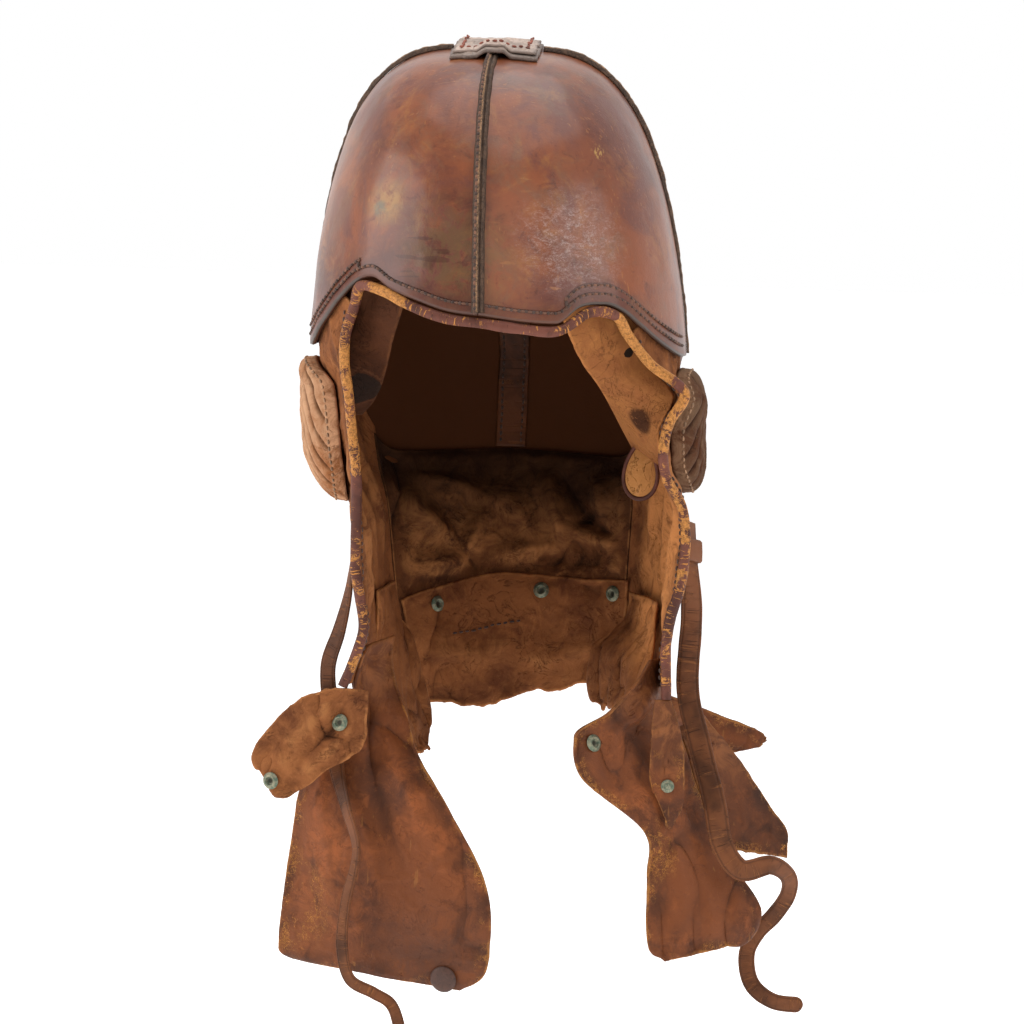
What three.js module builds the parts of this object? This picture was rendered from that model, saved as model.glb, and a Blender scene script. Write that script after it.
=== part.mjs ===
// Leather flying helmet: a hard four-quarter shell with soft cheeks, nape wall, cape, throat flaps and straps.
// Millimetres, +Z up, the face looks along -Y. Left and right are the wearer's: left is +X.
// The origin is the middle of the head opening at brow level.
import * as THREE from 'three';

// Hard shell
const shellHalfWidth = 93;
const shellFront = 108;
const shellBack = 120;
const shellWaist = -30;
const shellRise = 154;
const shellWall = 2.8;
const planPower = 2.25;
const shoulderPower = 3.75;
const crownPower = 1.67;
const crownTilt = 0.17;
const crownSway = -5.3;
const frontSeamTurn = -1.5;
const waistTuck = 0.2;
const tuckSpan = 100;
const edgeDrop = 88;
const hemTuck = 7;

// Soft leather
const softWall = 1.5;
const flapWall = 1.6;
const clearance = 0.35;
const facetRoom = 0.5;
const cheekDrop = 187;
const cornerReach = 0.55;
const cornerShare = 0.86;
const blendBand = 22;
const edgeLookAhead = 6;
const tuckRoom = 1.15;

// Face binding
const bindingRadius = 2.5;
const browTurn = 37;
const browBend = 9;

// Welts, crown patch and tape
const frontWeltWidth = 5;
const sideWeltWidth = 4.4;
const weltHeight = 2.4;
const patchWidth = 43;
const patchShift = 5;
const patchLowerWall = 1.7;
const patchUpperWall = 1.2;
const patchUpperTrim = 1.2;
const weltLap = 6;
const tapeWidth = 17;
const tapeWall = 1.2;
const tapeTop = 60;

// Ear pads and linings
const padHalfWidth = 35;
const padThickness = 14;
const padRim = 2.5;
const padSquareness = 0.8;
const padCentreReach = -0.09;
const padTop = 30;
const rightPadBottom = 101;
const leftPadBottom = 91;
const earLiningWall = 1.2;
const earLiningReach = 0.14;
const earLiningCentre = 0.46;
const earLiningLevel = 0.3;
const earLiningTip = 0.004;
const liningWall = 1.3;
const liningRoom = { right: 1.4, left: 2.8 };

// Cape and flaps
const napeDrop = 156;
const capeLength = 58;
const capeLap = 15;
const flapLength = 140;

// Straps
const rightStrapWidth = 8;
const leftStrapWidth = 11;
const strapWall = 2;
const strapFall = 350;
const strapTaper = 0.72;
const keeperShare = 0.045;
const keeperHeight = 10;
const keeperWall = 1.4;

// Press studs
const studRadius = 4;
const capRadius = 6.5;
const studHeight = 2.2;
const studGap = 0.6;
const studSides = 10;

const leatherColours = {
  shell: '#6d3420', welt: '#4b3526', patch: '#6a4436', tape: '#4a3228', binding: '#4e2a22',
  suede: '#8a5230', lining: '#a8713f', smooth: '#4a2c22', flap: '#7d4522', strap: '#4c2c1f',
};
const studColour = '#6f7f66';

// Height of the shell's lower edge round the head: turn in degrees from the front, shares of edgeDrop
const edgeRows = [
  { turn: 0, right: -0.02, left: -0.02 },
  { turn: 9, right: 0.0, left: -0.045 },
  { turn: 18, right: 0.06, left: -0.055 },
  { turn: 25, right: 0.11, left: 0.045 },
  { turn: 32, right: 0.18, left: 0.06 },
  { turn: 38, right: 0.145, left: 0.02 },
  { turn: 45, right: 0.045, left: -0.07 },
  { turn: 54, right: -0.09, left: -0.165 },
  { turn: 69, right: -0.245, left: -0.25 },
  { turn: 90, right: -0.265, left: -0.27 },
  { turn: 108, right: -0.29, left: -0.29 },
  { turn: 120, right: -0.5, left: -0.5 },
  { turn: 136, right: -0.93, left: -0.93 },
  { turn: 155, right: -1.02, left: -1.01 },
  { turn: 180, right: -1.0, left: -1.0 },
];

// Plan of the soft body at each level: drop is a share of cheekDrop, x columns are shares of shellHalfWidth,
// faceReach is a share of shellFront and nape a share of shellBack
const bodyRows = [
  { drop: 0.07, faceReach: -0.76, rightFace: -0.64, leftFace: 0.62, rightSide: -0.95, leftSide: 0.95,
    rightCorner: -0.76, leftCorner: 0.78, nape: 0.93 },
  { drop: -0.09, faceReach: -0.7, rightFace: -0.745, leftFace: 0.765, rightSide: -0.95, leftSide: 0.95,
    rightCorner: -0.75, leftCorner: 0.77, nape: 0.92 },
  { drop: -0.14, faceReach: -0.69, rightFace: -0.745, leftFace: 0.9, rightSide: -0.945, leftSide: 0.95,
    rightCorner: -0.74, leftCorner: 0.76, nape: 0.92 },
  { drop: -0.22, faceReach: -0.65, rightFace: -0.725, leftFace: 1.0, rightSide: -0.92, leftSide: 0.95,
    rightCorner: -0.73, leftCorner: 0.75, nape: 0.91 },
  { drop: -0.32, faceReach: -0.66, rightFace: -0.7, leftFace: 0.9, rightSide: -0.9, leftSide: 0.95,
    rightCorner: -0.71, leftCorner: 0.74, nape: 0.9 },
  { drop: -0.4, faceReach: -0.65, rightFace: -0.68, leftFace: 0.9, rightSide: -0.885, leftSide: 0.965,
    rightCorner: -0.7, leftCorner: 0.73, nape: 0.88 },
  { drop: -0.48, faceReach: -0.62, rightFace: -0.67, leftFace: 0.99, rightSide: -0.835, leftSide: 0.975,
    rightCorner: -0.69, leftCorner: 0.73, nape: 0.865 },
  { drop: -0.59, faceReach: -0.6, rightFace: -0.67, leftFace: 1.03, rightSide: -0.735, leftSide: 0.99,
    rightCorner: -0.66, leftCorner: 0.72, nape: 0.81 },
  { drop: -0.71, faceReach: -0.59, rightFace: -0.665, leftFace: 1.01, rightSide: -0.71, leftSide: 0.99,
    rightCorner: -0.63, leftCorner: 0.71, nape: 0.745 },
  { drop: -0.84, faceReach: -0.575, rightFace: -0.62, leftFace: 0.95, rightSide: -0.67, leftSide: 0.95,
    rightCorner: -0.6, leftCorner: 0.7, nape: 0.69 },
  { drop: -1.0, faceReach: -0.58, rightFace: -0.72, leftFace: 0.96, rightSide: -0.67, leftSide: 0.94,
    rightCorner: -0.58, leftCorner: 0.68, nape: 0.66 },
];

// Lower hems of the cape and the nape wall from right to left: shares of capeLength and of napeDrop
const capeHemRows = [
  { along: 0, drop: -1.06 },
  { along: 0.3, drop: -1.05 },
  { along: 0.6, drop: -0.89 },
  { along: 0.85, drop: -0.78 },
  { along: 1, drop: -0.74 },
];
const napeHemRows = [
  { along: 0, drop: -1.12 },
  { along: 0.25, drop: -1.06 },
  { along: 0.5, drop: -1.025 },
  { along: 0.75, drop: -1.03 },
  { along: 1, drop: -1.02 },
];

// Wrinkles: each runs from one place of its sheet to another (along and down are shares of the sheet),
// width is a share of the sheet's height and height is in shares of softWall
const napeFolds = [
  { fromAlong: 0.06, fromDown: 0.3, toAlong: 0.24, toDown: 0.66, width: 0.1, height: -3.6 },
  { fromAlong: 0.2, fromDown: 0.3, toAlong: 0.36, toDown: 0.8, width: 0.09, height: 2.6 },
  { fromAlong: 0.46, fromDown: 0.42, toAlong: 0.58, toDown: 0.6, width: 0.12, height: -3 },
  { fromAlong: 0.7, fromDown: 0.2, toAlong: 0.8, toDown: 0.62, width: 0.1, height: -4 },
  { fromAlong: 0.82, fromDown: 0.5, toAlong: 0.93, toDown: 0.62, width: 0.1, height: -3.2 },
];
const cheekFolds = [
  { fromAlong: 0.22, fromDown: 0.5, toAlong: 0.32, toDown: 0.8, width: 0.07, height: -2.2 },
  { fromAlong: 0.45, fromDown: 0.6, toAlong: 0.6, toDown: 0.85, width: 0.07, height: 2 },
  { fromAlong: 0.75, fromDown: 0.3, toAlong: 0.82, toDown: 0.58, width: 0.08, height: -2.2 },
];
const capeFolds = [
  { fromAlong: 0.1, fromDown: 0.55, toAlong: 0.5, toDown: 0.6, width: 0.16, height: -1.8 },
  { fromAlong: 0.55, fromDown: 0.75, toAlong: 0.9, toDown: 0.65, width: 0.16, height: -2 },
];
const rightFlapFolds = [
  { fromAlong: 0.45, fromDown: 0.15, toAlong: 0.62, toDown: 0.62, width: 0.1, height: 2.4 },
  { fromAlong: 0.1, fromDown: 0.3, toAlong: 0.3, toDown: 0.75, width: 0.1, height: -1.8 },
];
const leftFlapFolds = [
  { fromAlong: 0.5, fromDown: 0.2, toAlong: 0.75, toDown: 0.55, width: 0.1, height: 2.6 },
  { fromAlong: 0.05, fromDown: 0.52, toAlong: 0.9, toDown: 0.46, width: 0.06, height: -1.8 },
];

// Sheets that hang from the cheeks or the nape: each row gives the two edges of the sheet at one level.
// x columns are shares of shellHalfWidth, y columns of shellFront, z columns of the sheet's own length below
// the place that it hangs from
const rightFlapRows = [
  { ax: -0.62, ay: -0.46, az: 0.1, bx: -0.52, by: -0.16, bz: 0.14, belly: 0 },
  { ax: -0.66, ay: -0.42, az: -0.01, bx: -0.5, by: -0.22, bz: 0.02, belly: 0 },
  { ax: -0.77, ay: -0.36, az: -0.11, bx: -0.43, by: -0.29, bz: -0.09, belly: 0.02 },
  { ax: -0.86, ay: -0.39, az: -0.24, bx: -0.34, by: -0.42, bz: -0.24, belly: 0.04 },
  { ax: -0.95, ay: -0.42, az: -0.39, bx: -0.17, by: -0.56, bz: -0.39, belly: 0.05 },
  { ax: -0.99, ay: -0.42, az: -0.57, bx: 0.01, by: -0.66, bz: -0.57, belly: 0.06 },
  { ax: -1.02, ay: -0.42, az: -0.72, bx: 0.09, by: -0.69, bz: -0.71, belly: 0.06 },
  { ax: -1.04, ay: -0.42, az: -0.85, bx: 0.1, by: -0.7, bz: -0.86, belly: 0.05 },
  { ax: -1.045, ay: -0.42, az: -0.95, bx: 0.07, by: -0.69, bz: -0.97, belly: 0.04 },
  { ax: -0.96, ay: -0.43, az: -0.985, bx: -0.05, by: -0.67, bz: -1.03, belly: 0.03 },
];
const leftFlapRows = [
  { ax: 0.86, ay: -0.45, az: 0.12, bx: 0.93, by: -0.12, bz: 0.1, belly: 0 },
  { ax: 0.8, ay: -0.49, az: 0.05, bx: 0.92, by: -0.18, bz: -0.01, belly: 0 },
  { ax: 0.66, ay: -0.59, az: -0.05, bx: 0.99, by: -0.3, bz: -0.11, belly: 0.01 },
  { ax: 0.49, ay: -0.69, az: -0.13, bx: 1.06, by: -0.37, bz: -0.2, belly: 0.02 },
  { ax: 0.54, ay: -0.69, az: -0.27, bx: 1.12, by: -0.38, bz: -0.32, belly: 0.03 },
  { ax: 0.865, ay: -0.65, az: -0.45, bx: 1.21, by: -0.385, bz: -0.44, belly: 0.03 },
  { ax: 0.89, ay: -0.65, az: -0.6, bx: 1.35, by: -0.42, bz: -0.6, belly: 0.04 },
  { ax: 0.9, ay: -0.65, az: -0.76, bx: 1.49, by: -0.46, bz: -0.75, belly: 0.04 },
  { ax: 0.92, ay: -0.65, az: -0.86, bx: 1.44, by: -0.48, bz: -0.83, belly: 0.03 },
  { ax: 1.0, ay: -0.65, az: -0.9, bx: 1.36, by: -0.51, bz: -0.85, belly: 0.02 },
];
// The free edge of the folded fin: its other edge is the left flap's own
const finRows = [
  { x: 1.16, y: -0.26, z: -0.09 },
  { x: 1.34, y: -0.21, z: -0.24 },
  { x: 1.51, y: -0.19, z: -0.4 },
  { x: 1.63, y: -0.19, z: -0.52 },
  { x: 1.62, y: -0.2, z: -0.59 },
];
const finRoot = { from: 0.25, to: 0.63 };
const rightChinTabRows = [
  { ax: -0.76, ay: -0.587, az: -0.004, bx: -0.585, by: -0.58, bz: -0.014, belly: 0 },
  { ax: -0.94, ay: -0.58, az: -0.05, bx: -0.6, by: -0.605, bz: -0.2, belly: 0.01 },
  { ax: -1.12, ay: -0.56, az: -0.18, bx: -0.78, by: -0.61, bz: -0.29, belly: 0.02 },
  { ax: -1.18, ay: -0.56, az: -0.26, bx: -0.96, by: -0.59, bz: -0.38, belly: 0.01 },
  { ax: -1.13, ay: -0.56, az: -0.34, bx: -1.03, by: -0.575, bz: -0.41, belly: 0 },
];
const leftChinTabRows = [
  { ax: 0.9, ay: -0.585, az: -0.004, bx: 0.985, by: -0.58, bz: -0.004, belly: 0 },
  { ax: 0.895, ay: -0.585, az: -0.14, bx: 1.05, by: -0.6, bz: -0.14, belly: 0.01 },
  { ax: 0.89, ay: -0.6, az: -0.25, bx: 1.065, by: -0.61, bz: -0.25, belly: 0.02 },
  { ax: 0.94, ay: -0.62, az: -0.35, bx: 1.06, by: -0.625, bz: -0.36, belly: 0.01 },
  { ax: 0.99, ay: -0.635, az: -0.44, bx: 1.02, by: -0.635, bz: -0.44, belly: 0 },
];
const rightCapeSideRows = [
  { ax: -0.6, ay: 0.12, az: 0.12, bx: -0.57, by: 0.59, bz: 0.12, belly: 0 },
  { ax: -0.57, ay: 0.14, az: -0.25, bx: -0.52, by: 0.6, bz: -0.25, belly: -0.01 },
  { ax: -0.5, ay: 0.18, az: -0.8, bx: -0.43, by: 0.61, bz: -0.75, belly: -0.01 },
  { ax: -0.44, ay: 0.23, az: -1.1, bx: -0.37, by: 0.58, bz: -1.15, belly: 0 },
  { ax: -0.38, ay: 0.28, az: -1.38, bx: -0.33, by: 0.5, bz: -1.37, belly: 0 },
];
const leftCapeSideRows = [
  { ax: 0.66, ay: 0.585, az: 0.12, bx: 0.9, by: 0.12, bz: 0.12, belly: 0 },
  { ax: 0.62, ay: 0.59, az: -0.25, bx: 0.88, by: 0.05, bz: -0.25, belly: -0.02 },
  { ax: 0.57, ay: 0.6, az: -0.65, bx: 0.86, by: -0.05, bz: -0.5, belly: -0.03 },
  { ax: 0.6, ay: 0.52, az: -0.86, bx: 0.84, by: -0.1, bz: -0.72, belly: -0.02 },
];
const sideTabRows = [
  { ax: 0.862, ay: -0.06, az: -0.58, bx: 0.85, by: -0.095, bz: -0.72, belly: 0 },
  { ax: 1.2, ay: 0.03, az: -0.8, bx: 1.1, by: 0.1, bz: -1.06, belly: 0.01 },
  { ax: 1.45, ay: 0.08, az: -0.95, bx: 1.3, by: 0.1, bz: -1.16, belly: 0.01 },
  { ax: 1.52, ay: 0.09, az: -1.02, bx: 1.46, by: 0.1, bz: -1.14, belly: 0 },
];

// Temple linings: the free edge as shares (x of shellHalfWidth, y of shellFront, z of cheekDrop), and the
// place and height where the other edge meets the cheek
const rightLiningRows = [
  { ax: -0.395, ay: -0.86, az: 0.06, place: 0.5, bz: 0.03 },
  { ax: -0.48, ay: -0.74, az: -0.07, place: 0.5, bz: -0.06 },
  { ax: -0.54, ay: -0.56, az: -0.17, place: 0.5, bz: -0.16 },
  { ax: -0.62, ay: -0.33, az: -0.26, place: 0.6, bz: -0.25 },
  { ax: -0.71, ay: -0.16, az: -0.31, place: 1.1, bz: -0.31 },
];
const leftLiningRows = [
  { ax: 0.335, ay: -0.885, az: 0.03, place: 0.5, bz: -0.02 },
  { ax: 0.45, ay: -0.7, az: -0.12, place: 0.5, bz: -0.12 },
  { ax: 0.57, ay: -0.46, az: -0.22, place: 0.5, bz: -0.25 },
  { ax: 0.67, ay: -0.22, az: -0.32, place: 0.6, bz: -0.36 },
  { ax: 0.76, ay: -0.03, az: -0.41, place: 1.4, bz: -0.43 },
];

// Ways of the two straps: x as shares of shellHalfWidth, y of shellFront, z of strapFall, and the turn of the
// strap's flat face from the front, in degrees
const rightStrapRows = [
  { x: -0.695, y: -0.5, z: -0.36, facing: -80 },
  { x: -0.715, y: -0.51, z: -0.41, facing: -60 },
  { x: -0.755, y: -0.515, z: -0.46, facing: -40 },
  { x: -0.81, y: -0.495, z: -0.51, facing: -20 },
  { x: -0.79, y: -0.49, z: -0.575, facing: -10 },
  { x: -0.75, y: -0.52, z: -0.65, facing: -20 },
  { x: -0.68, y: -0.63, z: -0.7, facing: -50 },
  { x: -0.61, y: -0.7, z: -0.755, facing: -55 },
  { x: -0.655, y: -0.74, z: -0.83, facing: -30 },
  { x: -0.665, y: -0.74, z: -0.89, facing: -15 },
  { x: -0.62, y: -0.72, z: -0.935, facing: -10 },
  { x: -0.5, y: -0.705, z: -0.953, facing: 20 },
  { x: -0.41, y: -0.705, z: -0.967, facing: 25 },
  { x: -0.365, y: -0.705, z: -0.995, facing: 10 },
  { x: -0.345, y: -0.705, z: -1.03, facing: 0 },
];
const leftStrapRows = [
  { x: 1.052, y: -0.2, z: -0.3, facing: 70 },
  { x: 1.06, y: -0.24, z: -0.355, facing: 55 },
  { x: 1.075, y: -0.3, z: -0.43, facing: 15 },
  { x: 1.07, y: -0.38, z: -0.53, facing: 0 },
  { x: 1.14, y: -0.44, z: -0.6, facing: -5 },
  { x: 1.23, y: -0.52, z: -0.68, facing: -5 },
  { x: 1.28, y: -0.575, z: -0.735, facing: 10 },
  { x: 1.38, y: -0.61, z: -0.765, facing: 0 },
  { x: 1.53, y: -0.6, z: -0.757, facing: 0 },
  { x: 1.625, y: -0.52, z: -0.777, facing: 10 },
  { x: 1.63, y: -0.44, z: -0.808, facing: 0 },
  { x: 1.56, y: -0.395, z: -0.842, facing: 0 },
  { x: 1.48, y: -0.385, z: -0.867, facing: 0 },
  { x: 1.43, y: -0.39, z: -0.897, facing: 0 },
  { x: 1.46, y: -0.42, z: -0.937, facing: 0 },
  { x: 1.57, y: -0.46, z: -0.957, facing: 0 },
  { x: 1.73, y: -0.48, z: -0.96, facing: 0 },
];

const rad = THREE.MathUtils.degToRad;
const mix = THREE.MathUtils.lerp;
const clamp = THREE.MathUtils.clamp;
const smooth = THREE.MathUtils.smoothstep;

// A smooth curve through one column of a table, read along another column
function through(rows, along, column) {
  const at = rows.map((row) => row[along]);
  const value = rows.map((row) => row[column]);
  const last = rows.length - 1;
  const rise = (i) => (value[i + 1] - value[i]) / (at[i + 1] - at[i]);
  const slope = (i) => {
    if (i === 0) return rise(0);
    if (i === last) return rise(last - 1);
    return rise(i - 1) * rise(i) <= 0 ? 0 : (rise(i - 1) + rise(i)) / 2;
  };
  const forward = at[last] > at[0] ? 1 : -1;
  return (where) => {
    if ((where - at[0]) * forward <= 0) return value[0];
    if ((where - at[last]) * forward >= 0) return value[last];
    let i = 0;
    while ((where - at[i + 1]) * forward > 0) i += 1;
    const step = at[i + 1] - at[i];
    const t = (where - at[i]) / step;
    const t2 = t * t;
    const t3 = t2 * t;
    return value[i] * (2 * t3 - 3 * t2 + 1) + slope(i) * step * (t3 - 2 * t2 + t)
      + value[i + 1] * (3 * t2 - 2 * t3) + slope(i + 1) * step * (t3 - t2);
  };
}

// The same rows read by their number, for sheets whose rows have no common level
function rowCurve(rows, column) {
  const numbered = rows.map((row, i) => ({ number: i / (rows.length - 1), value: row[column] }));
  return through(numbered, 'number', 'value');
}

// A closed mesh from corner points and triangles, turned so that its faces point out
function closedMesh(name, colour, points, triangles) {
  const found = new Map();
  const kept = [];
  const number = points.map((p) => {
    const key = [p.x, p.y, p.z].map((c) => Math.round(c * 500)).join(' ');
    if (!found.has(key)) {
      found.set(key, kept.length);
      kept.push(p);
    }
    return found.get(key);
  });
  const faces = triangles.map((face) => face.map((i) => number[i]))
    .filter(([a, b, c]) => a !== b && b !== c && c !== a);
  const volume = faces.reduce((sum, [a, b, c]) => sum + kept[a].dot(kept[b].clone().cross(kept[c])), 0);
  if (volume < 0) faces.forEach((face) => face.reverse());
  const geometry = new THREE.BufferGeometry();
  geometry.setAttribute('position', new THREE.Float32BufferAttribute(kept.flatMap((p) => p.toArray()), 3));
  geometry.setIndex(faces.flat());
  geometry.computeVertexNormals();
  const material = new THREE.MeshStandardMaterial({ color: colour, roughness: 0.7, metalness: 0 });
  const mesh = new THREE.Mesh(geometry, material);
  mesh.name = name;
  return mesh;
}

// Two triangles for one cell of a grid
function cell(a, b, c, d) {
  return [[a, b, c], [a, c, d]];
}

// The way that a surface faces at one of its points
function facing(surface, u, v) {
  const step = 0.004;
  const u0 = clamp(u - step, 0, 1);
  const u1 = clamp(u + step, 0, 1);
  const v0 = clamp(v - step, 0, 1);
  const v1 = clamp(v + step, 0, 1);
  const alongU = surface(u1, v).sub(surface(u0, v));
  const alongV = surface(u, v1).sub(surface(u, v0));
  return alongU.cross(alongV).normalize();
}

// The same surface moved by a depth against the way that it faces
function layer(surface, depth) {
  return (u, v) => {
    const out = facing(surface, u, v);
    return surface(u, v).addScaledVector(out, -depth);
  };
}

// A leather wall between a surface and the same surface at a depth below it
function wall(name, colour, outer, inner, across, down) {
  const points = [];
  for (const side of [outer, inner]) {
    for (let j = 0; j <= down; j += 1) {
      for (let i = 0; i <= across; i += 1) points.push(side(i / across, j / down));
    }
  }
  const row = across + 1;
  const half = row * (down + 1);
  const triangles = [];
  for (let j = 0; j < down; j += 1) {
    for (let i = 0; i < across; i += 1) {
      const a = j * row + i;
      triangles.push(...cell(a, a + 1, a + row + 1, a + row));
      triangles.push(...cell(half + a, half + a + row, half + a + row + 1, half + a + 1));
    }
  }
  for (let i = 0; i < across; i += 1) {
    const end = down * row + i;
    triangles.push(...cell(i + 1, i, half + i, half + i + 1));
    triangles.push(...cell(end, end + 1, half + end + 1, half + end));
  }
  for (let j = 0; j < down; j += 1) {
    const a = j * row;
    const b = a + across;
    triangles.push(...cell(a, a + row, half + a + row, half + a));
    triangles.push(...cell(b + row, b, half + b, half + b + row));
  }
  return closedMesh(name, colour, points, triangles);
}

// A closed body through rings of equally many points, with a flat fan at each end
function loft(name, colour, rings) {
  const sides = rings[0].length;
  const points = rings.flat();
  const triangles = [];
  for (let j = 0; j < rings.length - 1; j += 1) {
    for (let i = 0; i < sides; i += 1) {
      const a = j * sides + i;
      const b = j * sides + ((i + 1) % sides);
      triangles.push(...cell(a, b, b + sides, a + sides));
    }
  }
  const end = (rings.length - 1) * sides;
  for (let i = 1; i < sides - 1; i += 1) {
    triangles.push([0, i + 1, i]);
    triangles.push([end, end + i, end + i + 1]);
  }
  return closedMesh(name, colour, points, triangles);
}

// Hard shell: the point of its outer face in one direction at one height, before the crown leans forward
const edgeOf = { right: through(edgeRows, 'turn', 'right'), left: through(edgeRows, 'turn', 'left') };

function edgeHeight(turn) {
  const side = turn < 0 ? 'right' : 'left';
  return edgeOf[side](Math.abs(turn)) * edgeDrop;
}

function turnOf(x, y) {
  return THREE.MathUtils.radToDeg(Math.atan2(x, -y));
}

function planReach(turn) {
  const sideways = Math.abs(Math.sin(rad(turn)));
  const onward = Math.cos(rad(turn));
  const length = onward > 0 ? shellFront : shellBack;
  return ((sideways / shellHalfWidth) ** planPower + (Math.abs(onward) / length) ** planPower) ** (-1 / planPower);
}

function domePoint(turn, height) {
  const climb = Math.min(1, (height - shellWaist) / shellRise);
  const share = climb > 0 ? (1 - climb ** crownPower) ** (1 / shoulderPower)
    : 1 - waistTuck * ((shellWaist - height) / tuckSpan) ** 2;
  const reach = planReach(turn) * share;
  const y = -reach * Math.cos(rad(turn));
  const lean = Math.max(0, climb);
  return new THREE.Vector3(reach * Math.sin(rad(turn)) + crownSway * lean, y, height + crownTilt * y * lean);
}

const nearCrown = shellWaist + shellRise * 0.9995;

function onDome(turn, height, lift) {
  const low = Math.min(height, nearCrown);
  const around = domePoint(turn + 0.5, low).sub(domePoint(turn - 0.5, low));
  const upward = domePoint(turn, low).sub(domePoint(turn, low - 0.5));
  return domePoint(turn, height).addScaledVector(around.cross(upward).normalize(), lift);
}

// The level at which the shell's edge really lies, once the crown leans forward
function edgeLevel(turn) {
  return domePoint(turn, edgeHeight(turn)).z;
}

// The curve up the dome is walked by an angle: 0 at the waist, a quarter turn at the crown
function angleAt(height) {
  const climb = (height - shellWaist) / shellRise;
  return climb < 0 ? climb : Math.asin(Math.min(1, climb ** (crownPower / 2)));
}

function heightAt(angle) {
  const climb = angle < 0 ? angle : Math.sin(angle) ** (2 / crownPower);
  return shellWaist + shellRise * climb;
}

function crownHeight(turn, reach) {
  const share = Math.min(1, reach / planReach(turn));
  return shellWaist + shellRise * (1 - share ** shoulderPower) ** (1 / crownPower);
}

// Each quarter keeps half the clearance from the two planes of its seams
function shellQuarter(name, from, to) {
  const keepOff = (p, axis, turn, sign) => {
    const across = new THREE.Vector3(Math.cos(rad(turn)) * sign, Math.sin(rad(turn)) * sign, 0);
    const room = p.clone().sub(axis).dot(across);
    return p.addScaledVector(across, Math.max(0, clearance / 2 - room));
  };
  const face = (lift) => (u, v) => {
    const turn = mix(from, to, u);
    const height = heightAt(mix(angleAt(edgeHeight(turn)), Math.PI / 2, v));
    const axis = new THREE.Vector3(crownSway * Math.max(0, (height - shellWaist) / shellRise), 0, 0);
    return keepOff(keepOff(onDome(turn, height, lift), axis, from, 1), axis, to, -1);
  };
  return wall(name, leatherColours.shell, face(0), face(-shellWall), 11, 12);
}

// Crown by plan position, for what lies on top of the shell
function onCrown(x, y, lift) {
  const turn = turnOf(x, y);
  return onDome(turn, crownHeight(turn, Math.hypot(x, y)), lift);
}

// A ridge along a seam, from the shell's edge to the crown patch or to a place under its rim
function seamWelt(name, turn, width, reach) {
  const section = [[-0.5, 0], [-0.34, 0.85], [0, 1], [0.34, 0.85], [0.5, 0]];
  const steps = 13;
  const low = angleAt(edgeHeight(turn) + 1);
  const high = angleAt(crownHeight(turn, reach));
  const rings = [];
  for (let j = 0; j <= steps; j += 1) {
    const height = heightAt(mix(low, high, j / steps));
    const foot = onDome(turn, height, clearance * 1.3);
    const up = onDome(turn, height, clearance * 1.3 + 1).sub(foot);
    const along = onDome(turn, height - 0.5, 0).sub(onDome(turn, height + 0.5, 0)).normalize();
    const side = up.clone().cross(along).normalize();
    rings.push(section.map(([across, rise]) => foot.clone().addScaledVector(side, across * width)
      .addScaledVector(up, rise * weltHeight)));
  }
  return loft(name, leatherColours.welt, rings);
}

// Each layer of the patch rides over the end of the front welt
function patchLayer(name, colour, half, floor, thick) {
  const near = frontWeltWidth * 0.75;
  const face = (extra) => (u, v) => {
    const x = mix(-half, half, u);
    const y = mix(half, -half, v);
    const ahead = smooth(-y, 0, patchWidth / 4);
    const ridge = (weltHeight + clearance) * ahead * (1 - smooth(Math.abs(x), near, near * 2.4));
    return onCrown(x, y - patchShift, clearance + floor + ridge + extra);
  };
  return wall(name, colour, face(thick), face(0), 8, 8);
}

// Tape over the back seam inside the shell, above the nape wall
function backSeamTape() {
  const spread = THREE.MathUtils.radToDeg(tapeWidth / 2 / shellBack);
  const low = angleAt(-edgeDrop + hemTuck + 1);
  const high = angleAt(tapeTop);
  const face = (depth) => (u, v) => onDome(180 + mix(spread, -spread, u), heightAt(mix(high, low, v)),
    -shellWall - clearance - facetRoom - depth);
  return wall('back_seam_tape', leatherColours.tape, face(0), face(tapeWall), 2, 9);
}

// Soft body: its plan at any level, counted from the right face edge (0) round the nape (6) to the left (12)
const cornerPlace = 4;
const lastPlace = 12;
const placeLength = 34;
const planSwell = { front: 0.58, back: 0.33, nape: 0.81 };
const bodyColumn = {};
for (const key of Object.keys(bodyRows[0])) bodyColumn[key] = through(bodyRows, 'drop', key);

function planPoints(height) {
  const level = height / cheekDrop;
  const read = (key) => bodyColumn[key](level);
  const faceY = read('faceReach') * shellFront;
  const nape = read('nape') * shellBack;
  const cornerY = Math.min(cornerReach * shellBack, nape * cornerShare);
  const halfOf = (face, side, corner) => [
    [face, faceY],
    [mix(face, side, planSwell.front), faceY / 2],
    [side, 0],
    [mix(side, corner, planSwell.back), cornerY / 2],
    [corner, cornerY],
    [corner / 2, mix(cornerY, nape, planSwell.nape)],
  ];
  const right = halfOf(...['rightFace', 'rightSide', 'rightCorner'].map((key) => read(key) * shellHalfWidth));
  const left = halfOf(...['leftFace', 'leftSide', 'leftCorner'].map((key) => read(key) * shellHalfWidth));
  return [...right, [0, nape], ...left.reverse()];
}

function splinePlan(points, place) {
  const i = clamp(Math.floor(place), 0, points.length - 2);
  const t = place - i;
  const p = [-1, 0, 1, 2].map((k) => points[clamp(i + k, 0, points.length - 1)]);
  const blend = (c) => 0.5 * (2 * p[1][c] + (p[2][c] - p[0][c]) * t
    + (2 * p[0][c] - 5 * p[1][c] + 4 * p[2][c] - p[3][c]) * t * t
    + (3 * p[1][c] - p[0][c] - 3 * p[2][c] + p[3][c]) * t * t * t);
  return [blend(0), blend(1)];
}

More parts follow.
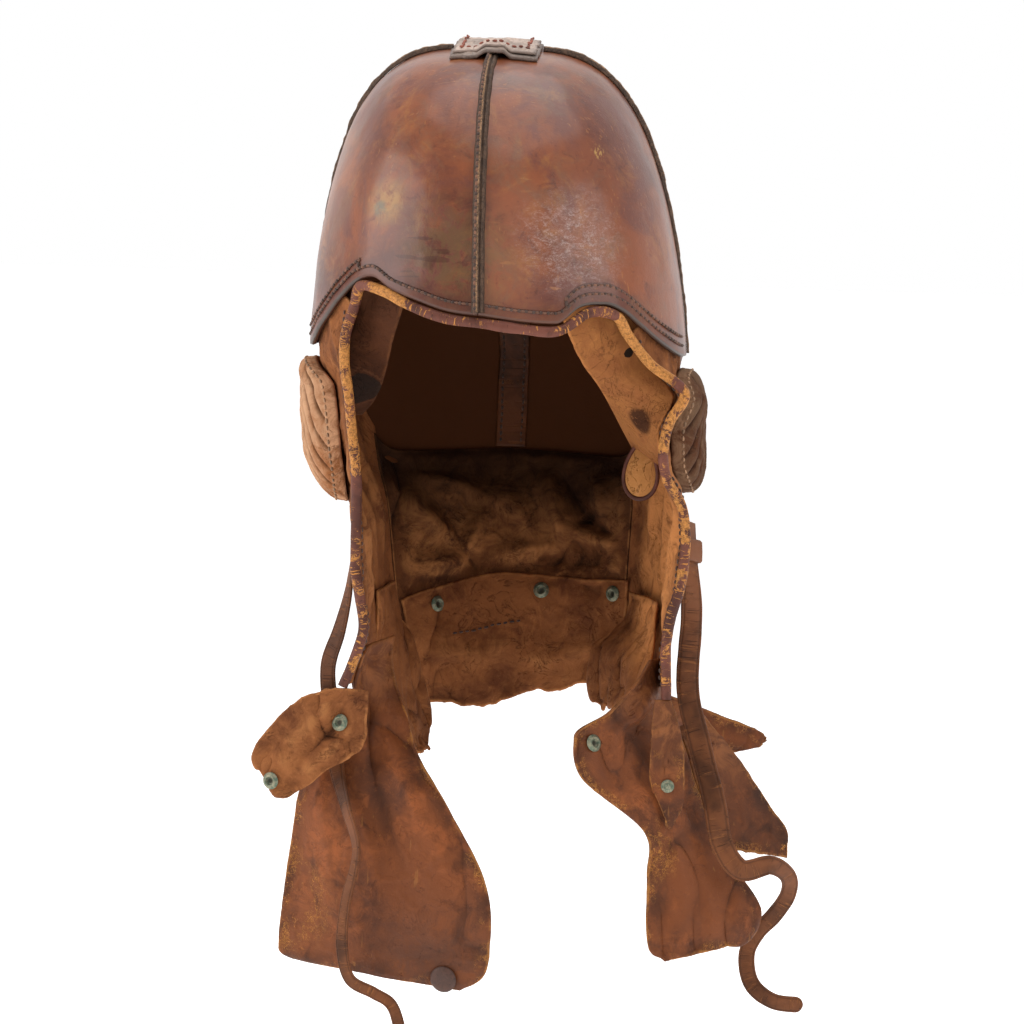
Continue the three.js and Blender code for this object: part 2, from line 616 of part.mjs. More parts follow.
// The outer face of the soft body: under the shell's edge it follows the inside of the shell
function onBody(place, height) {
  const [x, y] = splinePlan(planPoints(height), place);
  const turn = turnOf(x, y);
  const edge = Math.min(edgeLevel(turn), edgeLevel(turn + Math.sign(turn) * edgeLookAhead));
  const hidden = smooth(height, edge - blendBand, edge - shellWall * 1.5);
  const free = new THREE.Vector3(x, y, height);
  if (hidden === 0) return free;
  const lean = domePoint(turn, height).z - height;
  const tucked = onDome(turn, height - lean, -shellWall - tuckRoom);
  tucked.z = height;
  return free.lerp(tucked, hidden);
}

function bodyOut(place, height) {
  const ahead = onBody(place + 0.04, height).sub(onBody(place - 0.04, height));
  return new THREE.Vector3(-ahead.y, ahead.x, 0).normalize();
}

// The place on one side of the soft body that lies at a given distance to the front or back
function placeAt(side, y, height) {
  const points = planPoints(height);
  let steps = 2;
  for (let k = 0; k < 14; k += 1) {
    const at = splinePlan(points, side < 0 ? steps : lastPlace - steps)[1];
    steps = clamp(steps + (y - at) / placeLength, 0.1, cornerPlace);
  }
  return side < 0 ? steps : lastPlace - steps;
}

function insideBody(side, y, height, depth) {
  const place = placeAt(side, y, height);
  return onBody(place, height).addScaledVector(bodyOut(place, height), -depth);
}

// Height of a set of folds at one place of a sheet
function foldHeight(folds, u, v) {
  return folds.reduce((sum, fold) => {
    const du = fold.toAlong - fold.fromAlong;
    const dv = fold.toDown - fold.fromDown;
    const t = clamp(((u - fold.fromAlong) * du + (v - fold.fromDown) * dv) / (du * du + dv * dv), 0, 1);
    const away = Math.hypot(u - fold.fromAlong - t * du, v - fold.fromDown - t * dv) / fold.width;
    return sum + fold.height * softWall * Math.exp(-away * away) * Math.sin(Math.PI * mix(0.12, 0.88, t));
  }, 0);
}

// Folds die out at the edges of their sheet, where it is sewn
function folded(surface, folds, depth, mirrored = false) {
  return (u, v) => {
    const calm = smooth(u, 0, 0.1) * smooth(1 - u, 0, 0.1) * smooth(v, 0.08, 0.24) * smooth(1 - v, 0.12, 0.3);
    const rise = foldHeight(folds, mirrored ? 1 - u : u, v) * calm;
    return layer(surface, depth - rise)(u, v);
  };
}

// Face binding: along the brow below the shell's edge, at right angles to it, then down both cheeks
function browPoint(turn) {
  const middle = (at) => onDome(at, edgeHeight(at), -shellWall / 2);
  const p = middle(turn);
  const along = middle(turn + 2).sub(middle(turn - 2)).normalize();
  const out = onDome(turn, edgeHeight(turn), 0).sub(p).normalize();
  return p.addScaledVector(along.cross(out), bindingRadius + clearance + facetRoom * 1.6);
}

function cheekStart(side) {
  return browPoint(side * browTurn).z - browBend;
}

function bindingCurve() {
  const cheekSteps = 14;
  const cheek = (side) => Array.from({ length: cheekSteps }, (_, i) => {
    const height = mix(cheekStart(side), -cheekDrop, i / (cheekSteps - 1));
    return onBody(side < 0 ? 0 : lastPlace, height);
  });
  const brow = [-1, -0.75, -0.5, -0.25, 0, 0.25, 0.5, 0.75, 1].map((share) => browPoint(share * browTurn));
  return new THREE.CatmullRomCurve3([...cheek(-1).reverse(), ...brow, ...cheek(1)], false, 'centripetal');
}

function faceBinding() {
  const curve = bindingCurve();
  const sides = 7;
  const steps = 56;
  const frames = curve.computeFrenetFrames(steps, false);
  const rings = [];
  for (let j = 0; j <= steps; j += 1) {
    const centre = curve.getPointAt(j / steps);
    rings.push(Array.from({ length: sides }, (_, i) => {
      const angle = (i / sides) * Math.PI * 2;
      return centre.clone().addScaledVector(frames.normals[j], bindingRadius * Math.cos(angle))
        .addScaledVector(frames.binormals[j], bindingRadius * Math.sin(angle));
    }));
  }
  return loft('face_binding', leatherColours.binding, rings);
}

// Cheek: from behind the binding to the corner of the nape wall, facing outwards on both sides
const seamShare = clearance / placeLength;

function cheekSurface(side) {
  const placeOf = (back) => (side < 0 ? back : lastPlace - back);
  return (u, v) => {
    const back = side < 0 ? u : 1 - u;
    const place = placeOf(back * (cornerPlace - seamShare));
    const [x, y] = splinePlan(planPoints(0), place);
    const top = mix(cheekStart(side), edgeLevel(turnOf(x, y)) + hemTuck, smooth(back, 0.02, 0.2));
    const height = mix(top, -cheekDrop, v);
    const p = onBody(place, height);
    const rearward = onBody(placeOf(back * cornerPlace + 0.1), height).sub(p).normalize();
    const down = onBody(place, height - 1).sub(p).normalize();
    const away = rearward.sub(down.multiplyScalar(rearward.dot(down))).normalize();
    return p.addScaledVector(away, (bindingRadius + clearance * 2.8) * (1 - back) ** 4);
  };
}

function cheekPanel(name, side) {
  const base = cheekSurface(side);
  const mirrored = side > 0;
  return wall(name, leatherColours.suede, folded(base, cheekFolds, 0, mirrored),
    folded(base, cheekFolds, softWall, mirrored), 12, 12);
}

// Smooth oval lining inside a cheek, behind its ear pad
function earLining(name, side) {
  const base = cheekSurface(side);
  const face = (depth) => (u, v) => {
    const angle = mix(-Math.PI / 2, Math.PI / 2, v);
    const wide = Math.cos(angle) * earLiningReach + earLiningTip;
    const back = mix(earLiningCentre - wide, earLiningCentre + wide, u);
    return layer(base, depth)(back, earLiningLevel + earLiningReach * Math.sin(angle));
  };
  const under = softWall + clearance + facetRoom;
  return wall(name, leatherColours.smooth, face(under), face(under + earLiningWall), 5, 6);
}

// Nape wall
const napeHem = through(napeHemRows, 'along', 'drop');

function napeSurface(u, v) {
  const place = mix(cornerPlace + seamShare, lastPlace - cornerPlace - seamShare, u);
  const [x, y] = splinePlan(planPoints(-edgeDrop), place);
  return onBody(place, mix(edgeLevel(turnOf(x, y)) + hemTuck, napeHem(u) * napeDrop, v));
}

// Cape behind the neck: it hangs inside the lower hem of the nape wall
const capeHem = through(capeHemRows, 'along', 'drop');
const capeInset = { start: 0.04, rightTaper: 0.6, leftTaper: 0.1 };

function capeSurface(u, v) {
  const inset = softWall + clearance * 2;
  const from = cornerPlace + capeInset.start + capeInset.rightTaper * v;
  const to = lastPlace - cornerPlace - capeInset.start - capeInset.leftTaper * v;
  const place = mix(from, to, u);
  const height = mix(napeHem(u) * napeDrop + capeLap, -napeDrop + capeHem(u) * capeLength, v);
  return onBody(place, height).addScaledVector(bodyOut(place, height), -inset);
}

// Sheets whose two edges stand in a table
function hangingSurface(rows, from, length) {
  const read = {};
  for (const key of Object.keys(rows[0])) read[key] = rowCurve(rows, key);
  const edge = (name, v) => new THREE.Vector3(read[`${name}x`](v) * shellHalfWidth,
    read[`${name}y`](v) * shellFront, from + read[`${name}z`](v) * length);
  return (u, v) => {
    const p = edge('a', v).lerp(edge('b', v), u);
    p.y -= read.belly(v) * shellFront * Math.sin(Math.PI * u);
    return p;
  };
}

// A sheet that is sewn inside a cheek: it lies against the cheek above one height and is free below another.
// A sheet that is thick towards the cheek is seated deeper by its own wall, and one edge may hang loose.
function sewnInside(surface, side, seated, free, { deeper = 0, loose = '' } = {}) {
  const depth = softWall + clearance * 1.7 + deeper;
  const grips = { a: (u) => smooth(u, 0, 0.65), b: (u) => 1 - smooth(u, 0.35, 1), '': () => 1 };
  return (u, v) => {
    const p = surface(u, v);
    const tuck = smooth(p.z, free, seated) * grips[loose](u);
    return tuck === 0 ? p : p.lerp(insideBody(side, p.y, p.z, depth), tuck);
  };
}

function hanging(name, colour, surface, folds, across, down) {
  return wall(name, colour, folded(surface, folds, 0), folded(surface, folds, flapWall), across, down);
}

// Temple lining: one free edge from its table, the other edge against the inside of the cheek
function liningSurface(side, rows) {
  const read = {};
  for (const key of Object.keys(rows[0])) read[key] = rowCurve(rows, key);
  return (u, v) => {
    const free = new THREE.Vector3(read.ax(v) * shellHalfWidth, read.ay(v) * shellFront, read.az(v) * cheekDrop);
    const height = read.bz(v) * cheekDrop;
    const place = side < 0 ? read.place(v) : lastPlace - read.place(v);
    const depth = softWall + (side < 0 ? liningRoom.right : liningRoom.left);
    const seat = onBody(place, height).addScaledVector(bodyOut(place, height), -depth);
    return free.lerp(seat, side < 0 ? u : 1 - u);
  };
}

// Folded fin behind the left throat flap: it starts at the flap's outer edge
function finSurface(flap) {
  const read = {};
  for (const key of Object.keys(finRows[0])) read[key] = rowCurve(finRows, key);
  return (u, v) => {
    const row = mix(finRoot.from, finRoot.to, v);
    const rim = flap(1, row);
    const outward = rim.clone().sub(flap(0.97, row)).normalize();
    const tip = new THREE.Vector3(read.x(v) * shellHalfWidth, read.y(v) * shellFront,
      read.z(v) * flapLength - cheekDrop);
    return rim.addScaledVector(outward, clearance * 3).lerp(tip, u);
  };
}

// Padded ear dome on the outside of a cheek
function earPad(name, side, bottom) {
  const rings = 4;
  const spokes = 16;
  const gap = clearance + facetRoom * 1.4;
  const point = (ring, spoke, lift) => {
    const angle = (spoke / spokes) * Math.PI * 2;
    const round = (c) => Math.sign(c) * Math.abs(c) ** padSquareness;
    const y = padCentreReach * shellFront + round(Math.cos(angle)) * padHalfWidth * ring;
    const z = -(padTop + bottom) / 2 + round(Math.sin(angle)) * (bottom - padTop) / 2 * ring;
    const place = placeAt(side, y, z);
    return onBody(place, z).addScaledVector(bodyOut(place, z), lift);
  };
  const points = [point(0, 0, gap), point(0, 0, gap + padThickness)];
  for (let j = 1; j <= rings; j += 1) {
    const ring = Math.sin((j / rings) * Math.PI / 2);
    const swell = Math.max(0, 1 - ring ** 3.2) ** 0.42;
    for (let i = 0; i < spokes; i += 1) points.push(point(ring, i, gap));
    for (let i = 0; i < spokes; i += 1) points.push(point(ring, i, gap + padRim + (padThickness - padRim) * swell));
  }
  const triangles = [];
  for (let i = 0; i < spokes; i += 1) {
    const next = (i + 1) % spokes;
    triangles.push([0, 2 + next, 2 + i]);
    triangles.push([1, 2 + spokes + i, 2 + spokes + next]);
    for (let j = 0; j < rings - 1; j += 1) {
      const inner = 2 + j * spokes * 2;
      const outer = inner + spokes;
      triangles.push(...cell(inner + i, inner + next, inner + next + spokes * 2, inner + i + spokes * 2));
      triangles.push(...cell(outer + next, outer + i, outer + i + spokes * 2, outer + next + spokes * 2));
    }
    const last = 2 + (rings - 1) * spokes * 2;
    triangles.push(...cell(last + i, last + next, last + next + spokes, last + i + spokes));
  }
  return closedMesh(name, leatherColours.suede, points, triangles);
}

// A flat strap along a way given by a table
function strapFrame(rows) {
  const curve = new THREE.CatmullRomCurve3(rows.map((row) => new THREE.Vector3(
    row.x * shellHalfWidth, row.y * shellFront, row.z * strapFall)), false, 'centripetal');
  const turnAt = rowCurve(rows, 'facing');
  return (t) => {
    const turn = rad(turnAt(t));
    const along = curve.getTangent(t);
    const front = new THREE.Vector3(Math.sin(turn), -Math.cos(turn), 0);
    const side = along.clone().cross(front).normalize();
    return { centre: curve.getPoint(t), along, side, out: side.clone().cross(along).normalize() };
  };
}

function strap(name, rows, width, steps) {
  const frame = strapFrame(rows);
  const rings = [];
  for (let j = 0; j <= steps; j += 1) {
    const { centre, side, out } = frame(j / steps);
    const half = width / 2 * mix(1, strapTaper, smooth(j / steps, 0.4, 0.6));
    rings.push([[-1, -1], [1, -1], [1, 1], [-1, 1]].map(([s, n]) => centre.clone()
      .addScaledVector(side, s * half).addScaledVector(out, n * strapWall / 2)));
  }
  return loft(name, leatherColours.strap, rings);
}

// A closed leather loop that holds a strap near its upper end
function keeper(name, rows, width) {
  const { centre, along, side, out } = strapFrame(rows)(keeperShare);
  const slot = [width / 2 + clearance * 2, strapWall / 2 + clearance * 2];
  const rings = [0, 1, 1, 0].map((end, k) => {
    const grow = k < 2 ? keeperWall : 0;
    const lift = (end - 0.5) * keeperHeight;
    return [[-1, -1], [1, -1], [1, 1], [-1, 1]].map(([s, n]) => centre.clone().addScaledVector(along, lift)
      .addScaledVector(side, s * (slot[0] + grow)).addScaledVector(out, n * (slot[1] + grow)));
  });
  const points = rings.flat();
  const triangles = [];
  for (let k = 0; k < rings.length; k += 1) {
    const after = (k + 1) % rings.length;
    for (let i = 0; i < 4; i += 1) {
      const next = (i + 1) % 4;
      triangles.push(...cell(k * 4 + i, k * 4 + next, after * 4 + next, after * 4 + i));
    }
  }
  return closedMesh(name, leatherColours.strap, points, triangles);
}

// A press stud seated on one face of a sheet, at a share across and down it
function stud(name, surface, u, v, towards, depth, radius) {
  const out = facing(surface, u, v);
  const front = out.dot(towards) > 0;
  const foot = surface(u, v).addScaledVector(out, front ? studGap : -depth - studGap);
  const profile = [[0, 0], [radius, 0], [radius, studHeight * 0.5], [radius * 0.6, studHeight], [0, studHeight]];
  const geometry = new THREE.LatheGeometry(profile.map(([r, z]) => new THREE.Vector2(r, z)), studSides);
  geometry.applyQuaternion(new THREE.Quaternion().setFromUnitVectors(new THREE.Vector3(0, 1, 0),
    front ? out : out.clone().negate()));
  geometry.translate(foot.x, foot.y, foot.z);
  const corner = new THREE.Vector3();
  const position = geometry.attributes.position;
  const points = Array.from({ length: position.count }, (_, i) => corner.fromBufferAttribute(position, i).clone());
  const triangles = [];
  for (let i = 0; i < geometry.index.count; i += 3) {
    triangles.push([0, 1, 2].map((k) => geometry.index.getX(i + k)));
  }
  const mesh = closedMesh(name, studColour, points, triangles);
  mesh.material.metalness = 0.7;
  return mesh;
}

const group = new THREE.Group();
const add = (...meshes) => group.add(...meshes);

add(shellQuarter('shell_front_right', -90, frontSeamTurn), shellQuarter('shell_front_left', frontSeamTurn, 90));
add(shellQuarter('shell_back_right', -180, -90), shellQuarter('shell_back_left', 90, 180));
const patchRim = patchWidth / 2 + clearance * 2;
add(seamWelt('seam_welt_front', frontSeamTurn, frontWeltWidth, patchWidth / 2 + patchShift - weltLap));
add(seamWelt('seam_welt_back', 180, frontWeltWidth, patchRim - patchShift));
add(seamWelt('seam_welt_right', -90, sideWeltWidth, patchRim), seamWelt('seam_welt_left', 90, sideWeltWidth, patchRim));
add(patchLayer('crown_patch_lower', leatherColours.welt, patchWidth / 2, 0, patchLowerWall));
add(patchLayer('crown_patch_upper', leatherColours.patch, patchWidth / 2 - patchUpperTrim,
  patchLowerWall + clearance * 1.6, patchUpperWall));
add(backSeamTape(), faceBinding());

const sides = [['right', -1], ['left', 1]];
for (const [word, side] of sides) {
  add(cheekPanel(`cheek_panel_${word}`, side), earLining(`ear_lining_${word}`, side));
  add(earPad(`ear_pad_${word}`, side, side < 0 ? rightPadBottom : leftPadBottom));
  const lining = liningSurface(side, side < 0 ? rightLiningRows : leftLiningRows);
  add(wall(`temple_lining_${word}`, leatherColours.lining, lining, layer(lining, liningWall), 5, 6));
}
add(wall('nape_curtain', leatherColours.suede, folded(napeSurface, napeFolds, 0),
  folded(napeSurface, napeFolds, softWall), 18, 9));
add(hanging('cape_back', leatherColours.suede, capeSurface, capeFolds, 12, 5));

const capeSeat = -napeDrop * 1.03;
const capeFree = -cheekDrop * 0.97;
const rightCapeSide = sewnInside(hangingSurface(rightCapeSideRows, -napeDrop, capeLength), -1, capeSeat, capeFree);
const leftCapeSide = sewnInside(hangingSurface(leftCapeSideRows, -napeDrop, capeLength), 1, capeSeat, capeFree);
add(hanging('cape_side_right', leatherColours.suede, rightCapeSide, [], 7, 9));
add(hanging('cape_side_left', leatherColours.suede, leftCapeSide, [], 7, 7));
add(hanging('cape_side_tab', leatherColours.flap, hangingSurface(sideTabRows, -napeDrop, capeLength), [], 4, 7));

const flapSeat = -cheekDrop - flapWall;
const flapFree = flapSeat - flapLength / 10;
const rightFlap = sewnInside(hangingSurface(rightFlapRows, -cheekDrop, flapLength), -1, flapSeat, flapFree,
  { loose: 'b' });
const leftFlap = sewnInside(hangingSurface(leftFlapRows, -cheekDrop, flapLength), 1, flapSeat, flapFree,
  { deeper: flapWall, loose: 'a' });
add(hanging('throat_flap_right', leatherColours.flap, rightFlap, rightFlapFolds, 9, 13));
add(hanging('throat_flap_left', leatherColours.flap, leftFlap, leftFlapFolds, 8, 13));
add(hanging('throat_flap_left_fold', leatherColours.flap, finSurface(leftFlap), [], 4, 7));

const rightTab = hangingSurface(rightChinTabRows, -cheekDrop, flapLength);
const leftTab = hangingSurface(leftChinTabRows, -cheekDrop, flapLength);
add(hanging('chin_tab_right', leatherColours.suede, rightTab, [], 6, 9));
add(hanging('chin_tab_left', leatherColours.flap, leftTab, [], 4, 9));

add(strap('strap_right', rightStrapRows, rightStrapWidth, 42));
add(strap('strap_left', leftStrapRows, leftStrapWidth, 52));
add(keeper('strap_keeper_left', leftStrapRows, leftStrapWidth));

const ahead = new THREE.Vector3(0, -1, 0);
const behind = new THREE.Vector3(0, 1, 0);
const capeFace = folded(capeSurface, capeFolds, 0);
const rightFlapFace = folded(rightFlap, rightFlapFolds, 0);
const leftFlapFace = folded(leftFlap, leftFlapFolds, 0);
add(stud('cape_stud_1', capeFace, 0.15, 0.13, ahead, flapWall, studRadius));
add(stud('cape_stud_2', capeFace, 0.63, 0.13, ahead, flapWall, studRadius));
add(stud('cape_stud_3', capeFace, 0.93, 0.13, ahead, flapWall, studRadius));
add(stud('flap_cap_right', rightFlapFace, 0.84, 0.93, ahead, flapWall, capRadius));
add(stud('flap_stud_right', rightFlapFace, 0.95, 0.57, behind, flapWall, studRadius));
add(stud('flap_stud_left_upper', leftFlapFace, 0.16, 0.35, ahead, flapWall, studRadius));
add(stud('flap_stud_left_lower', leftFlapFace, 0.07, 0.8, behind, flapWall, studRadius));
add(stud('tab_socket_right_upper', rightTab, 0.62, 0.22, ahead, flapWall, studRadius));
add(stud('tab_socket_right_lower', rightTab, 0.55, 0.8, ahead, flapWall, studRadius));
add(stud('tab_stud_left', leftTab, 0.5, 0.6, ahead, flapWall, studRadius * 0.8));

export default group;
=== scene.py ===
"""Leather flying helmet, dressed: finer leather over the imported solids, stitches, linings and studs."""

import math
from functools import lru_cache
from types import SimpleNamespace

import bmesh
import bpy
import numpy as np
from bpy.props import FloatProperty, FloatVectorProperty, IntProperty, PointerProperty
from bpy.types import Operator, Panel, PropertyGroup
from mathutils import Matrix, Vector


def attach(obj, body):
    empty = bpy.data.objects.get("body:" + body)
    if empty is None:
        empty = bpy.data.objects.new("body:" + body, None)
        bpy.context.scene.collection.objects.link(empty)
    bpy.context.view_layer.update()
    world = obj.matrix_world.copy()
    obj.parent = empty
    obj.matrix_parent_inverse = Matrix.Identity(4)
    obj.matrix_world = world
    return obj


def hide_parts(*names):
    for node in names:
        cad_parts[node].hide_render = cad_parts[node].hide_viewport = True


bl_info = {
    "name": "Leather flying helmet",
    "version": (1, 0, 0),
    "blender": (4, 5, 0),
    "location": "View3D > Sidebar > Helmet",
    "description": "Dresses a leather flying helmet piece by piece",
    "category": "Object",
}

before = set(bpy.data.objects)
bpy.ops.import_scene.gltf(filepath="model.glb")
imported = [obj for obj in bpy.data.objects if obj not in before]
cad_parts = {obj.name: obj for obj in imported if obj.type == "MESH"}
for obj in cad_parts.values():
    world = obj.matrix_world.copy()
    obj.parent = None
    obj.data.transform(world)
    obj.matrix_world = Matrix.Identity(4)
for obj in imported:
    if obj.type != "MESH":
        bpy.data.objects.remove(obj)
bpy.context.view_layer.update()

MM = 0.001

# Hard shell, in millimetres as the solids have it
SHELL_HALF_WIDTH = 93
SHELL_FRONT = 108
SHELL_BACK = 120
SHELL_WAIST = -30
SHELL_RISE = 154
SHELL_WALL = 2.8
PLAN_POWER = 2.25
SHOULDER_POWER = 3.75
CROWN_POWER = 1.67
CROWN_TILT = 0.17
CROWN_SWAY = -5.3
FRONT_SEAM_TURN = -1.5
WAIST_TUCK = 0.2
TUCK_SPAN = 100
EDGE_DROP = 88
HEM_TUCK = 7

# Soft leather
SOFT_WALL = 1.5
FLAP_WALL = 1.6
CLEARANCE = 0.35
FACET_ROOM = 0.5
CHEEK_DROP = 187
CORNER_REACH = 0.55
CORNER_SHARE = 0.86
BLEND_BAND = 22
EDGE_LOOK_AHEAD = 6
HOLLOW_REACH = 40
TUCK_ROOM = 1.15
CORNER_PLACE = 4
LAST_PLACE = 12
PLACE_LENGTH = 34
PLAN_SWELL = {"front": 0.58, "back": 0.33, "nape": 0.81}

# Binding, welts, patch and tape
BINDING_RADIUS = 2.5
SEWN_SHARE = 0.3
NAPE_LAP = 1.6
NAPE_TUCK = 0.9
BROW_TURN = 37
BROW_BEND = 9
FRONT_WELT_WIDTH = 5
SIDE_WELT_WIDTH = 4.4
WELT_HEIGHT = 2.4
PATCH_WIDTH = 43
PATCH_SHIFT = 5
PATCH_LOWER_WALL = 1.7
PATCH_UPPER_WALL = 1.2
PATCH_UPPER_TRIM = 1.2
PATCH_FALL = 10
PATCH_SEAM_LIFT = 0.55
SEAM_RISES = (5.0, 9.5)
SEAM_LIFT = 0.3
WELT_LAP = 6
TAPE_WIDTH = 17
TAPE_WALL = 1.2
TAPE_TOP = 60

# Ear pads and linings
PAD_HALF_WIDTH = 35
PAD_THICKNESS = 14
PAD_RIM = 2.5
PAD_SQUARENESS = 0.8
PAD_CENTRE_REACH = -0.09
PAD_TOP = 30
PAD_BOTTOM = {-1: 101, 1: 91}
PAD_GAP = CLEARANCE + FACET_ROOM * 1.4
PAD_SEAM_REACH = 0.985
PAD_SEAM_LIFT = 0.2
PAD_BACK_REACHES = (1.0, 0.98, 0.7, 0.4, 0.05)
QUILT_LEAN = math.radians(-36)
EAR_LINING_WALL = 1.2
EAR_LINING_REACH = 0.14
EAR_LINING_CENTRE = 0.46
EAR_LINING_LEVEL = 0.3
EAR_LINING_TIP = 0.004
LINING_WALL = 1.3
LINING_ROOM = {-1: 1.4, 1: 2.8}

# Cape, flaps and straps
NAPE_DROP = 156
CAPE_LENGTH = 58
CAPE_LAP = 15
CAPE_INSET = {"start": 0.04, "right": 0.6, "left": 0.16}
FLAP_LENGTH = 140
FLAP_SEAT = -CHEEK_DROP - FLAP_WALL
FLAP_FREE = FLAP_SEAT - FLAP_LENGTH / 10
CAPE_SEAT = -NAPE_DROP * 1.03
CAPE_FREE = -CHEEK_DROP * 0.97
SHEET_BULGE = 0.4
RIGHT_STRAP_WIDTH = 8
LEFT_STRAP_WIDTH = 11
STRAP_WALL = 2
STRAP_FALL = 350
STRAP_TAPER = 0.72
PRESSED_LINE = 0.76
KEEPER_SHARE = 0.045
KEEPER_HEIGHT = 10
KEEPER_WALL = 1.4

# Height of the shell's lower edge: turn in degrees from the front, shares of EDGE_DROP
EDGE = {
    "turn": (0, 9, 18, 25, 32, 38, 45, 54, 69, 90, 108, 120, 136, 155, 180),
    "right": (
        -0.02, 0.0, 0.06, 0.11, 0.18, 0.145, 0.045, -0.09, -0.245, -0.265, -0.29, -0.5, -0.93, -1.02, -1.0
    ),
    "left": (
        -0.02, -0.045, -0.055, 0.045, 0.06, 0.02, -0.07, -0.165, -0.25, -0.27, -0.29, -0.5, -0.93, -1.01,
        -1.0
    ),
}

# Plan of the soft body at each level: shares of CHEEK_DROP, of the shell's half width, of its front and back
BODY = {
    "drop": (0.07, -0.09, -0.14, -0.22, -0.32, -0.4, -0.48, -0.59, -0.71, -0.84, -1.0),
    "face_reach": (-0.76, -0.7, -0.69, -0.65, -0.66, -0.65, -0.62, -0.6, -0.59, -0.575, -0.58),
    "right_face": (-0.64, -0.745, -0.745, -0.725, -0.7, -0.68, -0.67, -0.67, -0.665, -0.62, -0.72),
    "left_face": (0.62, 0.765, 0.9, 1.0, 0.9, 0.9, 0.99, 1.03, 1.01, 0.95, 0.96),
    "right_side": (-0.95, -0.95, -0.945, -0.92, -0.9, -0.885, -0.835, -0.735, -0.71, -0.67, -0.67),
    "left_side": (0.95, 0.95, 0.95, 0.95, 0.95, 0.965, 0.975, 0.99, 0.99, 0.95, 0.94),
    "right_corner": (-0.76, -0.75, -0.74, -0.73, -0.71, -0.7, -0.69, -0.66, -0.63, -0.6, -0.58),
    "left_corner": (0.78, 0.77, 0.76, 0.75, 0.74, 0.73, 0.73, 0.72, 0.71, 0.7, 0.68),
    "nape": (0.93, 0.92, 0.92, 0.91, 0.9, 0.88, 0.865, 0.81, 0.745, 0.69, 0.66),
}

# Lower hems from right to left: shares of CAPE_LENGTH and of NAPE_DROP
CAPE_HEM = {"along": (0, 0.3, 0.6, 0.85, 1), "drop": (-1.06, -1.05, -0.89, -0.78, -0.74)}
NAPE_HEM = {"along": (0, 0.25, 0.5, 0.75, 1), "drop": (-1.12, -1.06, -1.025, -1.03, -1.02)}

# Two edges of each hanging sheet, row by row: x in shares of the shell's half width, y of its front, z of the
# sheet's own length below the place that it hangs from
RIGHT_FLAP = {
    "ax": (-0.62, -0.66, -0.77, -0.86, -0.95, -0.99, -1.02, -1.04, -1.045, -0.96),
    "ay": (-0.46, -0.42, -0.36, -0.39, -0.42, -0.42, -0.42, -0.42, -0.42, -0.43),
    "az": (0.1, -0.01, -0.11, -0.24, -0.39, -0.57, -0.72, -0.85, -0.95, -0.985),
    "bx": (-0.52, -0.5, -0.43, -0.34, -0.17, 0.01, 0.09, 0.1, 0.07, -0.05),
    "by": (-0.16, -0.22, -0.29, -0.42, -0.56, -0.66, -0.69, -0.7, -0.69, -0.67),
    "bz": (0.14, 0.02, -0.09, -0.24, -0.39, -0.57, -0.71, -0.86, -0.97, -1.03),
    "belly": (0, 0, 0.02, 0.04, 0.05, 0.06, 0.06, 0.05, 0.04, 0.03),
}
LEFT_FLAP = {
    "ax": (0.86, 0.8, 0.66, 0.49, 0.54, 0.865, 0.89, 0.9, 0.92, 1.0),
    "ay": (-0.45, -0.49, -0.59, -0.69, -0.69, -0.65, -0.65, -0.65, -0.65, -0.65),
    "az": (0.12, 0.05, -0.05, -0.13, -0.27, -0.45, -0.6, -0.76, -0.86, -0.9),
    "bx": (0.93, 0.92, 0.99, 1.06, 1.12, 1.21, 1.35, 1.49, 1.44, 1.36),
    "by": (-0.12, -0.18, -0.3, -0.37, -0.38, -0.385, -0.42, -0.46, -0.48, -0.51),
    "bz": (0.1, -0.01, -0.11, -0.2, -0.32, -0.44, -0.6, -0.75, -0.83, -0.85),
    "belly": (0, 0, 0.01, 0.02, 0.03, 0.03, 0.04, 0.04, 0.03, 0.02),
}
FIN = {
    "x": (1.16, 1.34, 1.51, 1.63, 1.62), "y": (-0.26, -0.21, -0.19, -0.19, -0.2),
    "z": (-0.09, -0.24, -0.4, -0.52, -0.59)
}
FIN_ROOT = (0.25, 0.63)
RIGHT_CHIN_TAB = {
    "ax": (-0.76, -0.94, -1.12, -1.18, -1.13),
    "ay": (-0.587, -0.58, -0.56, -0.56, -0.56),
    "az": (-0.004, -0.05, -0.18, -0.26, -0.34),
    "bx": (-0.585, -0.6, -0.78, -0.96, -1.03),
    "by": (-0.58, -0.605, -0.61, -0.59, -0.575),
    "bz": (-0.014, -0.2, -0.29, -0.38, -0.41),
    "belly": (0, 0.01, 0.02, 0.01, 0),
}
LEFT_CHIN_TAB = {
    "ax": (0.9, 0.895, 0.89, 0.94, 0.99),
    "ay": (-0.585, -0.585, -0.6, -0.62, -0.635),
    "az": (-0.004, -0.14, -0.25, -0.35, -0.44),
    "bx": (0.985, 1.05, 1.065, 1.06, 1.02),
    "by": (-0.58, -0.6, -0.61, -0.625, -0.635),
    "bz": (-0.004, -0.14, -0.25, -0.36, -0.44),
    "belly": (0, 0.01, 0.02, 0.01, 0),
}
RIGHT_CAPE_SIDE = {
    "ax": (-0.66, -0.66, -0.6, -0.535, -0.47),
    "ay": (0.12, 0.13, 0.16, 0.2, 0.26),
    "az": (0.12, -0.25, -0.8, -1.1, -1.38),
    "bx": (-0.57, -0.52, -0.43, -0.37, -0.33),
    "by": (0.59, 0.6, 0.61, 0.58, 0.5),
    "bz": (0.12, -0.25, -0.75, -1.15, -1.37),
    "belly": (0, -0.01, -0.01, 0, 0),
}
